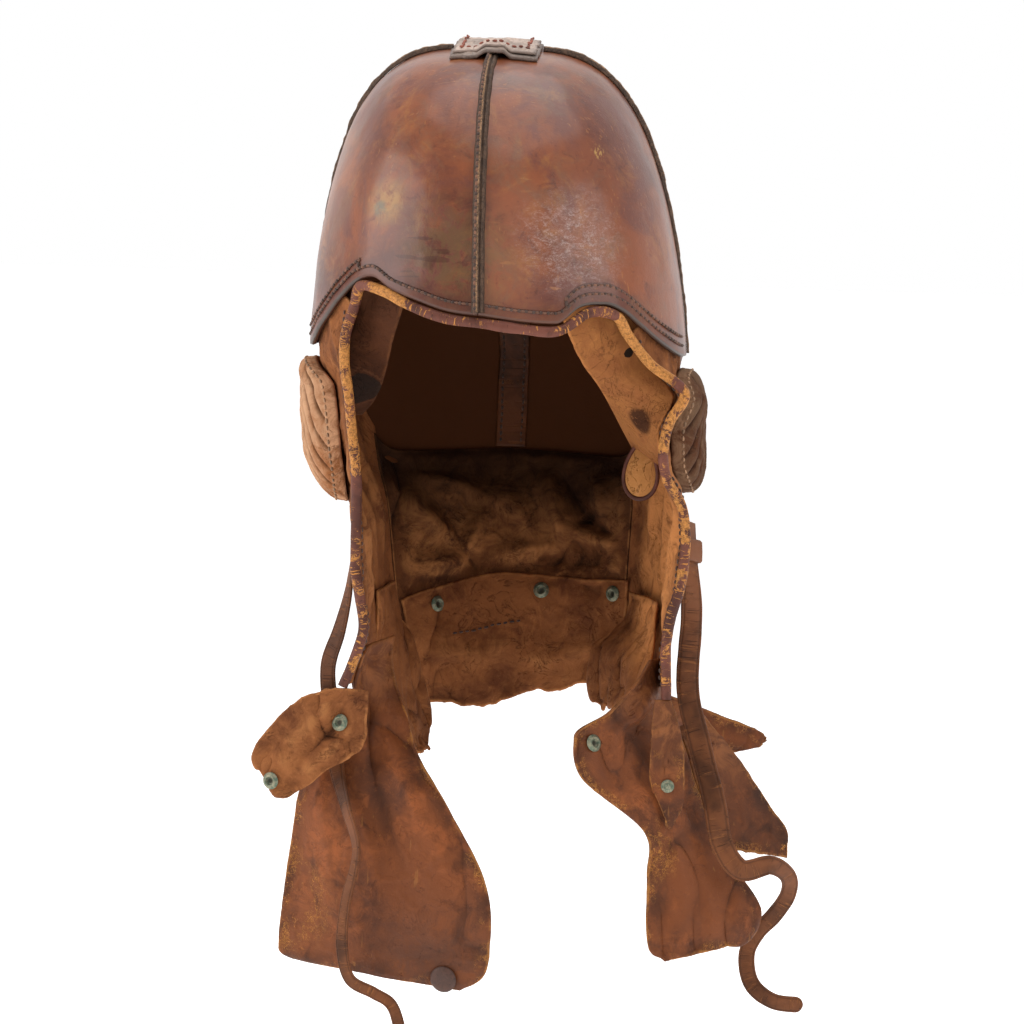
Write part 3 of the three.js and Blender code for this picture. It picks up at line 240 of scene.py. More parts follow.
LEFT_CAPE_SIDE = {
    "ax": (0.6, 0.55, 0.51, 0.54),
    "ay": (0.53, 0.53, 0.54, 0.48),
    "az": (0.12, -0.25, -0.68, -0.98),
    "bx": (0.9, 0.88, 0.86, 0.84),
    "by": (0.12, 0.05, -0.05, -0.1),
    "bz": (0.12, -0.25, -0.5, -0.72),
    "belly": (0, -0.02, -0.03, -0.02),
}
SIDE_TAB = {
    "ax": (0.862, 1.2, 1.45, 1.52),
    "ay": (-0.06, 0.03, 0.08, 0.09),
    "az": (-0.58, -0.8, -0.95, -1.02),
    "bx": (0.85, 1.1, 1.3, 1.46),
    "by": (-0.095, 0.1, 0.1, 0.1),
    "bz": (-0.72, -1.06, -1.16, -1.14),
    "belly": (0, 0.01, 0.01, 0),
}

# Temple linings: the free edge, then the place and height where the other edge meets the cheek
RIGHT_LINING = {
    "ax": (-0.395, -0.48, -0.54, -0.62, -0.71),
    "ay": (-0.86, -0.74, -0.56, -0.33, -0.16),
    "az": (0.06, -0.07, -0.17, -0.26, -0.31),
    "place": (0.5, 0.5, 0.5, 0.6, 1.1),
    "bz": (0.03, -0.06, -0.16, -0.25, -0.31),
}
LEFT_LINING = {
    "ax": (0.335, 0.45, 0.57, 0.67, 0.76),
    "ay": (-0.885, -0.7, -0.46, -0.22, -0.03),
    "az": (0.03, -0.12, -0.22, -0.32, -0.41),
    "place": (0.5, 0.5, 0.5, 0.6, 1.4),
    "bz": (-0.02, -0.12, -0.25, -0.36, -0.43),
}

# Ways of the straps: x and y as above, z in shares of STRAP_FALL, and the turn of the flat face in degrees
RIGHT_STRAP = {
    "x": (
        -0.695, -0.715, -0.755, -0.81, -0.79, -0.75, -0.68, -0.61, -0.655, -0.665, -0.62, -0.5, -0.41,
        -0.365, -0.345
    ),
    "y": (
        -0.5, -0.51, -0.515, -0.495, -0.49, -0.52, -0.63, -0.7, -0.74, -0.74, -0.72, -0.705, -0.705, -0.705,
        -0.705
    ),
    "z": (
        -0.36, -0.41, -0.46, -0.51, -0.575, -0.65, -0.7, -0.755, -0.83, -0.89, -0.935, -0.953, -0.967,
        -0.995, -1.03
    ),
    "facing": (-80, -60, -40, -20, -10, -20, -50, -55, -30, -15, -10, 20, 25, 10, 0),
}
LEFT_STRAP = {
    "x": (
        1.052, 1.06, 1.075, 1.07, 1.14, 1.23, 1.28, 1.38, 1.53, 1.625, 1.63, 1.56, 1.48, 1.43, 1.46, 1.57,
        1.73
    ),
    "y": (
        -0.2, -0.24, -0.3, -0.38, -0.44, -0.52, -0.575, -0.61, -0.6, -0.52, -0.44, -0.395, -0.385, -0.39,
        -0.42, -0.46, -0.48
    ),
    "z": (
        -0.3, -0.355, -0.43, -0.53, -0.6, -0.68, -0.735, -0.765, -0.757, -0.777, -0.808, -0.842, -0.867,
        -0.897, -0.937, -0.957, -0.96
    ),
    "facing": (70, 55, 15, 0, -5, -5, 10, 0, 0, 10, 0, 0, 0, 0, 0, 0, 0),
}

# Wrinkles of each sheet: from and to (along, down), width as a share of the sheet's height, height in mm
NAPE_FOLDS = (
    ((0.04, 0.24), (0.3, 0.62), 0.06, -8.5), ((0.2, 0.34), (0.4, 0.86), 0.05, 5.6),
    ((0.08, 0.12), (0.44, 0.36), 0.05, -5.0),
    ((0.42, 0.4), (0.3, 0.74), 0.05, -6.6), ((0.48, 0.3), (0.62, 0.56), 0.055, -5.4),
    ((0.66, 0.16), (0.76, 0.64), 0.055, -8.8),
    ((0.76, 0.5), (0.95, 0.6), 0.055, -7.2), ((0.7, 0.14), (0.84, 0.5), 0.05, 6.0),
    ((0.86, 0.15), (0.9, 0.46), 0.045, -5.2),
    ((0.5, 0.7), (0.72, 0.62), 0.045, -4.6), ((0.12, 0.66), (0.28, 0.72), 0.05, -5.0),
)
CHEEK_FOLDS = (
    ((0.2, 0.46), (0.36, 0.8), 0.055, -4.6), ((0.45, 0.6), (0.6, 0.88), 0.05, 4.2),
    ((0.72, 0.3), (0.84, 0.6), 0.06, -4.8),
    ((0.1, 0.6), (0.26, 0.92), 0.045, -3.4), ((0.07, 0.33), (0.16, 0.62), 0.045, 3.0),
    ((0.5, 0.32), (0.7, 0.7), 0.045, -3.4),
    ((0.3, 0.36), (0.12, 0.5), 0.04, -3.0), ((0.4, 0.8), (0.2, 0.7), 0.04, -3.0),
)
CAPE_FOLDS = (
    ((0.1, 0.55), (0.5, 0.6), 0.12, -2.4), ((0.55, 0.75), (0.9, 0.65), 0.12, -2.4),
    ((0.28, 0.2), (0.34, 0.7), 0.09, 1.6),
    ((0.62, 0.3), (0.72, 0.9), 0.09, 1.4),
)
RIGHT_FLAP_FOLDS = (
    ((0.45, 0.15), (0.62, 0.62), 0.09, 3.4), ((0.1, 0.3), (0.3, 0.75), 0.08, -2.4),
    ((0.7, 0.3), (0.86, 0.6), 0.07, -1.8),
    ((0.3, 0.02), (0.42, 0.3), 0.06, -2.4),
)
LEFT_FLAP_FOLDS = (
    ((0.5, 0.2), (0.75, 0.55), 0.09, 3.4), ((0.05, 0.52), (0.9, 0.46), 0.05, -2.6),
    ((0.25, 0.1), (0.4, 0.36), 0.06, -2.4),
    ((0.1, 0.6), (0.8, 0.56), 0.03, 1.2),
)
TAB_FOLDS = (
    ((0.5, 0.12), (0.66, 0.5), 0.08, 2.8), ((0.3, 0.1), (0.36, 0.42), 0.07, -2.4),
    ((0.74, 0.2), (0.8, 0.6), 0.06, -2.2),
    ((0.2, 0.56), (0.7, 0.62), 0.07, -1.8),
)


def mix(low, high, share):
    return low + (high - low) * share


def smooth(value, low, high):
    share = np.clip((value - low) / (high - low), 0, 1)
    return share * share * (3 - 2 * share)


def unit(vectors):
    return vectors / np.maximum(np.linalg.norm(vectors, axis=-1, keepdims=True), 1e-9)


def stack(*parts):
    return np.stack(np.broadcast_arrays(*parts), axis=-1)


def arc_lengths(line):
    """How far along a line each of its points lies."""
    return np.concatenate([[0], np.cumsum(np.linalg.norm(np.diff(line, axis=0), axis=1))])


def read_at(where, at, rows):
    """Rows of numbers, such as points, read between the places where they are known."""
    return np.column_stack([np.interp(where, at, column) for column in np.asarray(rows).T])


def round_angles(count):
    return np.linspace(0, 2 * math.pi, count, endpoint=False)


def squared(wave, power):
    """A sine or cosine that is bent towards the corners of a square."""
    return np.sign(wave) * np.abs(wave) ** power


def inside_edges(share, span):
    """0 at two opposite edges of a sheet and 1 farther in than a span."""
    return smooth(share, 0, span) * smooth(1 - share, 0, span)


def through(at, value):
    """A smooth curve through pairs of numbers, which turns back only where they do."""
    at, value = np.asarray(at, float), np.asarray(value, float)
    if at[-1] < at[0]:
        at, value = at[::-1], value[::-1]
    rise = np.diff(value) / np.diff(at)
    inner = np.where(rise[:-1] * rise[1:] <= 0, 0, (rise[:-1] + rise[1:]) / 2)
    slope = np.concatenate(([rise[0]], inner, [rise[-1]]))

    def read(where):
        where = np.clip(where, at[0], at[-1])
        i = np.clip(np.searchsorted(at, where, side="right") - 1, 0, len(at) - 2)
        step = at[i + 1] - at[i]
        t = (where - at[i]) / step
        return (
            value[i] * (2 * t**3 - 3 * t**2 + 1)
            + slope[i] * step * (t**3 - 2 * t**2 + t)
            + value[i + 1] * (3 * t**2 - 2 * t**3)
            + slope[i + 1] * step * (t**3 - t**2)
        )

    return read


def by_row(table):
    """Every column of a table as a curve over its rows, from 0 to 1."""
    rows = np.linspace(0, 1, len(next(iter(table.values()))))
    return {key: through(rows, column) for key, column in table.items()}


# Repeatable noise


def lattice(cell, seed):
    """A random number from 0 to 1 for each cell of a lattice."""
    mask = 0xFFFFFFFF
    n = (cell[..., 0] * 73856093) ^ (cell[..., 1] * 19349663) ^ (cell[..., 2] * 83492791) ^ (seed * 40503)
    n = ((n & mask) ^ ((n & mask) >> 13)) * 1274126177 & mask
    return ((n ^ (n >> 16)) & 0xFFFF) / 65535


def ripple(points, size, seed):
    """Smooth noise from -1 to 1 with features of one size, in the unit of the points."""
    place = np.asarray(points, float) / size + 1000
    low = np.floor(place).astype(np.int64)
    t = place - low
    t = t * t * t * (t * (t * 6 - 15) + 10)
    total = np.zeros(place.shape[:-1])
    for corner in np.ndindex(2, 2, 2):
        weight = np.prod(np.where(corner, t, 1 - t), axis=-1)
        total += weight * lattice(low + corner, seed)
    return total * 2 - 1


def cloud(points, size, octaves, seed):
    """Layered noise, each layer half as large and half as high."""
    return sum(ripple(points, size / 2**k, seed + k) / 2**k for k in range(octaves))


def ridges(points, size, seed):
    """Soft folds that wander: 1 on a ridge and 0 between them."""
    return np.clip(1 - 1.6 * np.abs(cloud(points, size, 3, seed)), 0, 1) ** 2


def creases(points, size, width, seed):
    """Narrow wandering lines: 1 in the middle of a crease and 0 away from it."""
    return np.clip(1 - np.abs(cloud(points, size, 2, seed)) / width, 0, 1) ** 1.5


# Hard shell

edge_right = through(EDGE["turn"], EDGE["right"])
edge_left = through(EDGE["turn"], EDGE["left"])


def edge_height(turn):
    turn = np.asarray(turn, float)
    return np.where(turn < 0, edge_right(np.abs(turn)), edge_left(np.abs(turn))) * EDGE_DROP


def turn_of(x, y):
    return np.degrees(np.arctan2(x, -y))


def plan_reach(turn):
    sideways = np.abs(np.sin(np.radians(turn)))
    onward = np.cos(np.radians(turn))
    length = np.where(onward > 0, SHELL_FRONT, SHELL_BACK)
    return (
        (sideways / SHELL_HALF_WIDTH) ** PLAN_POWER + (np.abs(onward) / length) ** PLAN_POWER
    ) ** (-1 / PLAN_POWER)


def dome_point(turn, height):
    climb = np.minimum(1, (height - SHELL_WAIST) / SHELL_RISE)
    above = np.clip(1 - np.maximum(climb, 0) ** CROWN_POWER, 0, 1) ** (1 / SHOULDER_POWER)
    below = 1 - WAIST_TUCK * ((SHELL_WAIST - height) / TUCK_SPAN) ** 2
    reach = plan_reach(turn) * np.where(climb > 0, above, below)
    lean = np.maximum(0, climb)
    y = -reach * np.cos(np.radians(turn))
    x = reach * np.sin(np.radians(turn)) + CROWN_SWAY * lean
    return stack(x, y, height + CROWN_TILT * y * lean)


NEAR_CROWN = SHELL_WAIST + SHELL_RISE * 0.9995


def dome_out(turn, height):
    low = np.minimum(height, NEAR_CROWN)
    around = dome_point(turn + 0.5, low) - dome_point(turn - 0.5, low)
    upward = dome_point(turn, low) - dome_point(turn, low - 0.5)
    return unit(np.cross(around, upward))


def on_dome(turn, height, lift=0.0):
    return dome_point(turn, height) + dome_out(turn, height) * np.asarray(lift)[..., None]


def edge_level(turn):
    return dome_point(turn, edge_height(turn))[..., 2]


def angle_at(height):
    climb = (np.asarray(height, float) - SHELL_WAIST) / SHELL_RISE
    return np.where(climb < 0, climb, np.arcsin(np.clip(np.maximum(climb, 0) ** (CROWN_POWER / 2), 0, 1)))


def height_at(angle):
    angle = np.asarray(angle, float)
    climb = np.where(angle < 0, angle, np.sin(np.maximum(angle, 0)) ** (2 / CROWN_POWER))
    return SHELL_WAIST + SHELL_RISE * climb


def crown_height(turn, reach):
    share = np.minimum(1, reach / plan_reach(turn))
    return SHELL_WAIST + SHELL_RISE * (1 - share**SHOULDER_POWER) ** (1 / CROWN_POWER)


def on_crown(x, y, lift):
    turn = turn_of(x, y)
    return on_dome(turn, crown_height(turn, np.hypot(x, y)), lift)


# Soft body under the shell: cheeks and nape in one plan, place 0 at the right face edge, 12 at the left

body_column = {key: through(BODY["drop"], column) for key, column in BODY.items() if key != "drop"}


def plan_points(height):
    read = {key: column(height / CHEEK_DROP) for key, column in body_column.items()}
    face_y = read["face_reach"] * SHELL_FRONT
    nape = read["nape"] * SHELL_BACK
    corner_y = np.minimum(CORNER_REACH * SHELL_BACK, nape * CORNER_SHARE)

    def half(face, side, corner):
        return [
            (face, face_y),
            (mix(face, side, PLAN_SWELL["front"]), face_y / 2),
            (side, 0 * side),
            (mix(side, corner, PLAN_SWELL["back"]), corner_y / 2),
            (corner, corner_y),
            (corner / 2, mix(corner_y, nape, PLAN_SWELL["nape"])),
        ]

    right = half(*(read[f"right_{key}"] * SHELL_HALF_WIDTH for key in ("face", "side", "corner")))
    left = half(*(read[f"left_{key}"] * SHELL_HALF_WIDTH for key in ("face", "side", "corner")))
    return np.array([np.stack(pair, axis=-1) for pair in [*right, (0 * nape, nape), *reversed(left)]])


def spline_plan(points, place):
    i = np.clip(np.floor(place).astype(int), 0, len(points) - 2)
    t = (place - i)[:, None]
    rows = np.arange(len(place))
    p = [points[np.clip(i + k, 0, len(points) - 1), rows] for k in (-1, 0, 1, 2)]
    return 0.5 * (
        2 * p[1]
        + (p[2] - p[0]) * t
        + (2 * p[0] - 5 * p[1] + 4 * p[2] - p[3]) * t**2
        + (3 * p[1] - p[0] - 3 * p[2] + p[3]) * t**3
    )


def on_body(place, height):
    place, height = (np.array(a, float).ravel() for a in np.broadcast_arrays(place, height))
    xy = spline_plan(plan_points(height), place)
    turn = turn_of(xy[:, 0], xy[:, 1])
    edge = np.minimum(edge_level(turn), edge_level(turn + np.sign(turn) * EDGE_LOOK_AHEAD))
    hidden = smooth(height, edge - BLEND_BAND, edge - SHELL_WALL * 1.5)
    free = np.column_stack([xy, height])
    lean = dome_point(turn, height)[:, 2] - height
    tucked = on_dome(turn, height - lean, -SHELL_WALL - TUCK_ROOM)
    tucked[:, 2] = height
    return mix(free, tucked, hidden[:, None])


def body_out(place, height):
    ahead = on_body(place + 0.04, height) - on_body(place - 0.04, height)
    return unit(np.column_stack([-ahead[:, 1], ahead[:, 0], 0 * ahead[:, 0]]))


def place_at(side, y, height):
    points = plan_points(height)
    steps = np.full(len(y), 2.0)
    for _ in range(14):
        at = spline_plan(points, steps if side < 0 else LAST_PLACE - steps)[:, 1]
        steps = np.clip(steps + (y - at) / PLACE_LENGTH, 0.1, CORNER_PLACE)
    return steps if side < 0 else LAST_PLACE - steps


def inside_body(side, y, height, depth):
    place = place_at(side, y, height)
    return on_body(place, height) - body_out(place, height) * depth


# Surfaces: each takes two arrays from 0 to 1 and gives points in millimetres


def shell_surface(start, end):
    def keep_off(points, axis, turn, sign):
        across = np.array([math.cos(math.radians(turn)), math.sin(math.radians(turn)), 0]) * sign
        room = (points - axis) @ across
        return points + across * np.maximum(0, CLEARANCE / 2 - room)[:, None]

    def face(u, v, lift):
        turn = mix(start, end, u)
        height = height_at(mix(angle_at(edge_height(turn)), math.pi / 2, v))
        sway = CROWN_SWAY * np.maximum(0, (height - SHELL_WAIST) / SHELL_RISE)
        axis = stack(sway, 0 * sway, 0 * sway)
        return keep_off(keep_off(on_dome(turn, height, lift), axis, start, 1), axis, end, -1)

    return face


def brow_point(turn):
    def middle(at):
        return on_dome(at, edge_height(at), 0 * at - SHELL_WALL / 2)

    turn = np.asarray(turn, float)
    p = middle(turn)
    along = unit(middle(turn + 2) - middle(turn - 2))
    out = unit(on_dome(turn, edge_height(turn), 0 * turn) - p)
    return p + np.cross(along, out) * (BINDING_RADIUS + CLEARANCE + FACET_ROOM * 1.6)


def cheek_start(side):
    return brow_point([side * BROW_TURN])[0, 2] - BROW_BEND


def binding_way():
    levels = np.linspace(0, 1, 14)
    right = on_body(np.zeros(14), mix(cheek_start(-1), -CHEEK_DROP, levels))
    left = on_body(np.full(14, float(LAST_PLACE)), mix(cheek_start(1), -CHEEK_DROP, levels))
    brow = brow_point(np.linspace(-1, 1, 9) * BROW_TURN)
    return np.vstack([right[::-1], brow, left])


def cheek_surface(side):
    def place_of(back):
        return back if side < 0 else LAST_PLACE - back

    def surface(u, v):
        back = u if side < 0 else 1 - u
        place = place_of(back * (CORNER_PLACE - CLEARANCE / PLACE_LENGTH))
        xy = spline_plan(plan_points(0 * u), place)
        edge = edge_level(turn_of(xy[:, 0], xy[:, 1])) + HEM_TUCK
        top = mix(cheek_start(side), edge, smooth(back, 0.02, 0.2))
        height = mix(top, -CHEEK_DROP, v)
        p = on_body(place, height)
        rearward = unit(on_body(place_of(back * CORNER_PLACE + 0.1), height) - p)
        down = unit(on_body(place, height - 1) - p)
        away = unit(rearward - down * np.sum(rearward * down, axis=1, keepdims=True))
        return p + away * (BINDING_RADIUS * SEWN_SHARE * (1 - back) ** 4)[:, None]

    return surface


nape_hem = through(NAPE_HEM["along"], NAPE_HEM["drop"])
cape_hem = through(CAPE_HEM["along"], CAPE_HEM["drop"])


def nape_surface(u, v):
    lap = NAPE_LAP / PLACE_LENGTH
    place = mix(CORNER_PLACE - lap, LAST_PLACE - CORNER_PLACE + lap, u)
    xy = spline_plan(plan_points(0 * u - EDGE_DROP), place)
    edge = edge_level(turn_of(xy[:, 0], xy[:, 1])) + HEM_TUCK
    height = mix(edge, nape_hem(u) * NAPE_DROP, v)
    tuck = NAPE_TUCK * np.abs(2 * u - 1) ** 12
    return on_body(place, height) - body_out(place, height) * tuck[:, None]


def cape_surface(u, v):
    start = CORNER_PLACE + CAPE_INSET["start"] + CAPE_INSET["right"] * v
    end = LAST_PLACE - CORNER_PLACE + CAPE_INSET["left"]
    place = mix(start, end, u)
    height = mix(nape_hem(u) * NAPE_DROP + CAPE_LAP, -NAPE_DROP + cape_hem(u) * CAPE_LENGTH, v)
    return on_body(place, height) - body_out(place, height) * (SOFT_WALL + CLEARANCE * 2)


def hanging_surface(table, start, length):
    read = by_row(table)

    def edge(name, v):
        return stack(
            read[f"{name}x"](v) * SHELL_HALF_WIDTH, read[f"{name}y"](v) * SHELL_FRONT,
            start + read[f"{name}z"](v) * length
        )

    def surface(u, v):
        p = mix(edge("a", v), edge("b", v), u[:, None])
        p[:, 1] -= read["belly"](v) * SHELL_FRONT * np.sin(math.pi * u)
        return p

    return surface


def sewn_inside(surface, side, seated, free, deeper=0.0, loose=""):
    depth = SOFT_WALL + CLEARANCE * 1.7 + deeper
    grip = {"a": lambda u: smooth(u, 0, 0.65), "b": lambda u: 1 - smooth(u, 0.35, 1), "": np.ones_like}[loose]

    def seated_surface(u, v):
        p = surface(u, v)
        tuck = smooth(p[:, 2], free, seated) * grip(u)
        return mix(p, inside_body(side, p[:, 1], p[:, 2], depth), tuck[:, None])

    return seated_surface


def lining_surface(side, table):
    read = by_row(table)
    depth = SOFT_WALL + LINING_ROOM[side]

    def surface(u, v):
        free = stack(
            read["ax"](v) * SHELL_HALF_WIDTH, read["ay"](v) * SHELL_FRONT, read["az"](v) * CHEEK_DROP
        )
        height = read["bz"](v) * CHEEK_DROP
        place = read["place"](v) if side < 0 else LAST_PLACE - read["place"](v)
        seat = on_body(place, height) - body_out(place, height) * depth
        return mix(free, seat, (u if side < 0 else 1 - u)[:, None])

    return surface


def fin_surface(flap):
    read = by_row(FIN)

    def surface(u, v):
        row = mix(*FIN_ROOT, v)
        rim = flap(np.ones_like(row), row)
        outward = unit(rim - flap(np.full_like(row, 0.97), row))
        tip = stack(
            read["x"](v) * SHELL_HALF_WIDTH, read["y"](v) * SHELL_FRONT,
            read["z"](v) * FLAP_LENGTH - CHEEK_DROP
        )
        return mix(rim + outward * CLEARANCE * 3, tip, u[:, None])

    return surface


def ear_lining_surface(side):
    base = cheek_surface(side)

    def surface(u, v):
        angle = mix(-math.pi / 2, math.pi / 2, v)
        wide = np.cos(angle) * EAR_LINING_REACH + EAR_LINING_TIP
        back = mix(EAR_LINING_CENTRE - wide, EAR_LINING_CENTRE + wide, u)
        down = EAR_LINING_LEVEL + EAR_LINING_REACH * np.sin(angle)
        return base(back, down) - facing(base, back, down) * (SOFT_WALL + CLEARANCE + FACET_ROOM)

    return surface


def tape_surface(u, v):
    spread = math.degrees(TAPE_WIDTH / 2 / SHELL_BACK)
    low, high = angle_at(HEM_TUCK + 1 - EDGE_DROP), angle_at(TAPE_TOP)
    depth = -SHELL_WALL - CLEARANCE - FACET_ROOM
    return on_dome(180 + mix(spread, -spread, u), height_at(mix(high, low, v)), 0 * u + depth)


def facing(surface, u, v):
    """The way that a surface faces at some of its points."""
    step = 0.004
    along_u = surface(np.clip(u + step, 0, 1), v) - surface(np.clip(u - step, 0, 1), v)
    along_v = surface(u, np.clip(v + step, 0, 1)) - surface(u, np.clip(v - step, 0, 1))
    return unit(np.cross(along_u, along_v))


# Meshes


def fold_height(folds, u, v):
    total = np.zeros_like(u)
    for (u0, v0), (u1, v1), width, height in folds:
        du, dv = u1 - u0, v1 - v0
        t = np.clip(((u - u0) * du + (v - v0) * dv) / (du * du + dv * dv), 0, 1)
        away = np.hypot(u - u0 - t * du, v - v0 - t * dv) / width
        total += height * np.exp(-(away**1.5)) * np.sin(math.pi * mix(0.12, 0.88, t))
    return total


def calm_at_edges(u, v, sides=0.1, top=0.24, bottom=0.3):
    return inside_edges(u, sides) * smooth(v, 0.06, top) * smooth(1 - v, 0.1, bottom)


def blurred(grid, times):
    """The same grid with every value drawn towards its neighbours."""
    for _ in range(times):
        wide = np.pad(grid, 1, mode="edge")
        grid = (wide[1:-1, :-2] + wide[1:-1, 2:] + wide[:-2, 1:-1] + wide[2:, 1:-1]) / 8 + grid / 2
    return grid


def grid_normals(points):
    return unit(np.cross(np.gradient(points, axis=1), np.gradient(points, axis=0)))


def mesh_object(name, points, faces, material, uv=None, attributes=None):
    """A mesh object from points in millimetres, with its doubles merged and its faces turned out."""
    mesh = bpy.data.meshes.new(name)
    mesh.from_pydata((np.asarray(points) * MM).tolist(), [], [list(map(int, face)) for face in faces])
    for key, values in (attributes or {}).items():
        mesh.attributes.new(key, "FLOAT", "POINT").data.foreach_set("value", np.asarray(values, np.float32))
    if uv is not None:
        layer = mesh.uv_layers.new(name="UVMap")
        layer.data.foreach_set("uv", np.asarray(uv, np.float32).ravel())
    work = bmesh.new()
    work.from_mesh(mesh)
    bmesh.ops.remove_doubles(work, verts=work.verts, dist=1e-6)
    bmesh.ops.dissolve_degenerate(work, dist=1e-7, edges=work.edges)
    bmesh.ops.recalc_face_normals(work, faces=work.faces)
    work.to_mesh(mesh)
    work.free()
    mesh.shade_smooth()
    mesh.materials.append(material)
    piece = bpy.data.objects.new(name, mesh)
    bpy.context.scene.collection.objects.link(piece)
    return piece


class Sheet:
    """A leather sheet: the points of its outer and its inner face on one grid."""

    def __init__(
        self, surface, across, down, wall, relief=None, trim=(0, 0, 0, 0), seed=1, inner=None, end=0.0
    ):
        u, v = np.meshgrid(np.linspace(0, 1, across + 1), np.linspace(0, 1, down + 1))
        shape = u.shape
        self.u, self.v = self.trimmed(u, v, trim, seed)
        if end:
            self.u = 0.5 + (self.u - 0.5) * np.sqrt(1 - 0.72 * smooth(v, 1 - end, 1.0) ** 2)
        face = surface(self.u.ravel(), self.v.ravel()).reshape(*shape, 3)
        rise = np.zeros(shape)
        if relief:
            rise = relief(face, u, v)
            face = face + grid_normals(face) * rise[..., None]
        self.outer = face
        self.out = grid_normals(face)
        self.inner = inner if inner is not None else face - self.out * wall
        self.rise = rise

    @staticmethod
    def trimmed(u, v, trim, seed):
        """Uneven edges: each side is cut back by a wavering share of the sheet."""

        def waver(along, number):
            line = stack(along * 9, 0 * along + number * 7.3, 0 * along)
            return np.clip(0.5 + 0.45 * cloud(line, 1, 4, seed + number), 0, 1)

        low_u, high_u = trim[0] * waver(v, 1), 1 - trim[1] * waver(v, 2)
        low_v, high_v = trim[2] * waver(u, 3), 1 - trim[3] * waver(u, 4)
        return mix(low_u, high_u, u), mix(low_v, high_v, v)

    def at(self, u, v, inside=False):
        """Points on one face of the sheet and the way that this face looks there."""
        points, sign = (self.inner, -1) if inside else (self.outer, 1)
        rows, columns = points.shape[0] - 1, points.shape[1] - 1
        x, y = np.atleast_1d(np.asarray(u, float)) * columns, np.atleast_1d(np.asarray(v, float)) * rows
        i, j = np.clip(x.astype(int), 0, columns - 1), np.clip(y.astype(int), 0, rows - 1)
        s, t = (x - i)[:, None], (y - j)[:, None]

        def blend(values):
            return mix(
                mix(values[j, i], values[j, i + 1], s), mix(values[j + 1, i], values[j + 1, i + 1], s), t
            )

        return blend(points), unit(blend(self.out)) * sign

    def piece(self, name, material, bulge=(0.5, 0.5, 0.5, 0.5), extra_values=None):
        rows, columns = self.outer.shape[:2]
        count = rows * columns
        number = np.arange(count).reshape(rows, columns)
        quads = np.stack(
            [number[:-1, :-1], number[:-1, 1:], number[1:, 1:], number[1:, :-1]], axis=-1
        ).reshape(-1, 4)
        lengths = np.linalg.norm(np.diff(self.outer, axis=1), axis=2)
        heights = np.linalg.norm(np.diff(self.outer, axis=0), axis=2)
        x = np.concatenate([np.zeros((rows, 1)), np.cumsum(lengths, axis=1)], axis=1)
        y = np.concatenate([np.zeros((1, columns)), np.cumsum(heights, axis=0)], axis=0)
        rim = np.minimum(np.minimum(x, x[:, -1:] - x), np.minimum(y, y[-1:] - y))
        loops = [
            (number[0, :], number[1, :], bulge[2]),
            (number[:, -1], number[:, -2], bulge[1]),
            (number[-1, ::-1], number[-2, ::-1], bulge[3]),
            (number[::-1, 0], number[::-1, 1], bulge[0]),
        ]
        outer, inner = self.outer.reshape(-1, 3), self.inner.reshape(-1, 3)
        middle = {}
        for line, behind, amount in loops:
            for k, m in zip(line, behind):
                away = unit(outer[k] - outer[m]) * amount
                middle[k] = middle[k] + away if k in middle else (outer[k] + inner[k]) / 2 + away
        extra = {k: 2 * count + n for n, k in enumerate(middle)}
        points = np.vstack([outer, inner, np.array(list(middle.values()))])
        faces = [*quads, *(quads[:, ::-1] + count)]
        for line, _, _ in loops:
            for a, b in zip(line[:-1], line[1:]):
                faces.append((b, a, extra[a], extra[b]))
                faces.append((extra[b], extra[a], a + count, b + count))
        flat = np.stack([x, y], axis=-1).reshape(-1, 2) * MM
        spread = np.vstack([flat, flat, flat[list(middle)]])
        # How far each point lies below the blurred relief; the materials paint shade in hollows and light on
        # bulges from it
        hollow = (blurred(self.rise, HOLLOW_REACH) - self.rise).ravel()
        values = {
            "hollow": np.concatenate([hollow, -hollow, np.zeros(len(middle))]),
            "rim": np.concatenate([rim.ravel(), rim.ravel(), np.zeros(len(middle))]),
            "fold": np.concatenate([self.rise.ravel(), -self.rise.ravel(), np.zeros(len(middle))]),
            "hem": np.concatenate([y.ravel(), y.ravel(), np.zeros(len(middle))]),
            "inside": np.concatenate([0 * y.ravel(), 1 + 0 * y.ravel(), 0.5 * np.ones(len(middle))]),
        }
        for key, value in (extra_values or {}).items():
            grid = value(self.outer).ravel()
            values[key] = np.concatenate([grid, grid, grid[list(middle)]])
        uv = spread[np.concatenate([np.asarray(face) for face in faces])]
        return mesh_object(name, points, faces, material, uv, values)


def loft_object(name, rings, material, attributes=None):
    """A closed body through rings of equally many points, capped at both ends; u runs round and v along."""
    rings = np.asarray(rings, float)
    count, sides = rings.shape[:2]
    centres = rings.mean(axis=1)
    run = arc_lengths(centres) * MM
    points = np.vstack([rings.reshape(-1, 3), centres[0], centres[-1]])
    faces, uv = [], []
    for j in range(count - 1):
        for i in range(sides):
            k = (i + 1) % sides
            faces.append((j * sides + i, j * sides + k, (j + 1) * sides + k, (j + 1) * sides + i))
            low, high = i / sides, (i + 1) / sides
            uv.extend([(low, run[j]), (high, run[j]), (high, run[j + 1]), (low, run[j + 1])])
    for j, centre in ((0, count * sides), (count - 1, count * sides + 1)):
        for i in range(sides):
            faces.append((j * sides + i, j * sides + (i + 1) % sides, centre))
            uv.extend([(i / sides, run[j]), ((i + 1) / sides, run[j]), (i / sides, run[j])])
    return mesh_object(name, points, faces, material, uv, attributes)


def ring_object(name, rings, material):
    """A closed band: rings of points round a section, joined end to end."""
    rings = np.asarray(rings, float)
    count, sides = rings.shape[:2]
    faces = []
    for j in range(count):
        for i in range(sides):
            k, m = (i + 1) % sides, (j + 1) % count
            faces.append((j * sides + i, j * sides + k, m * sides + k, m * sides + i))
    return mesh_object(name, rings.reshape(-1, 3), faces, material)


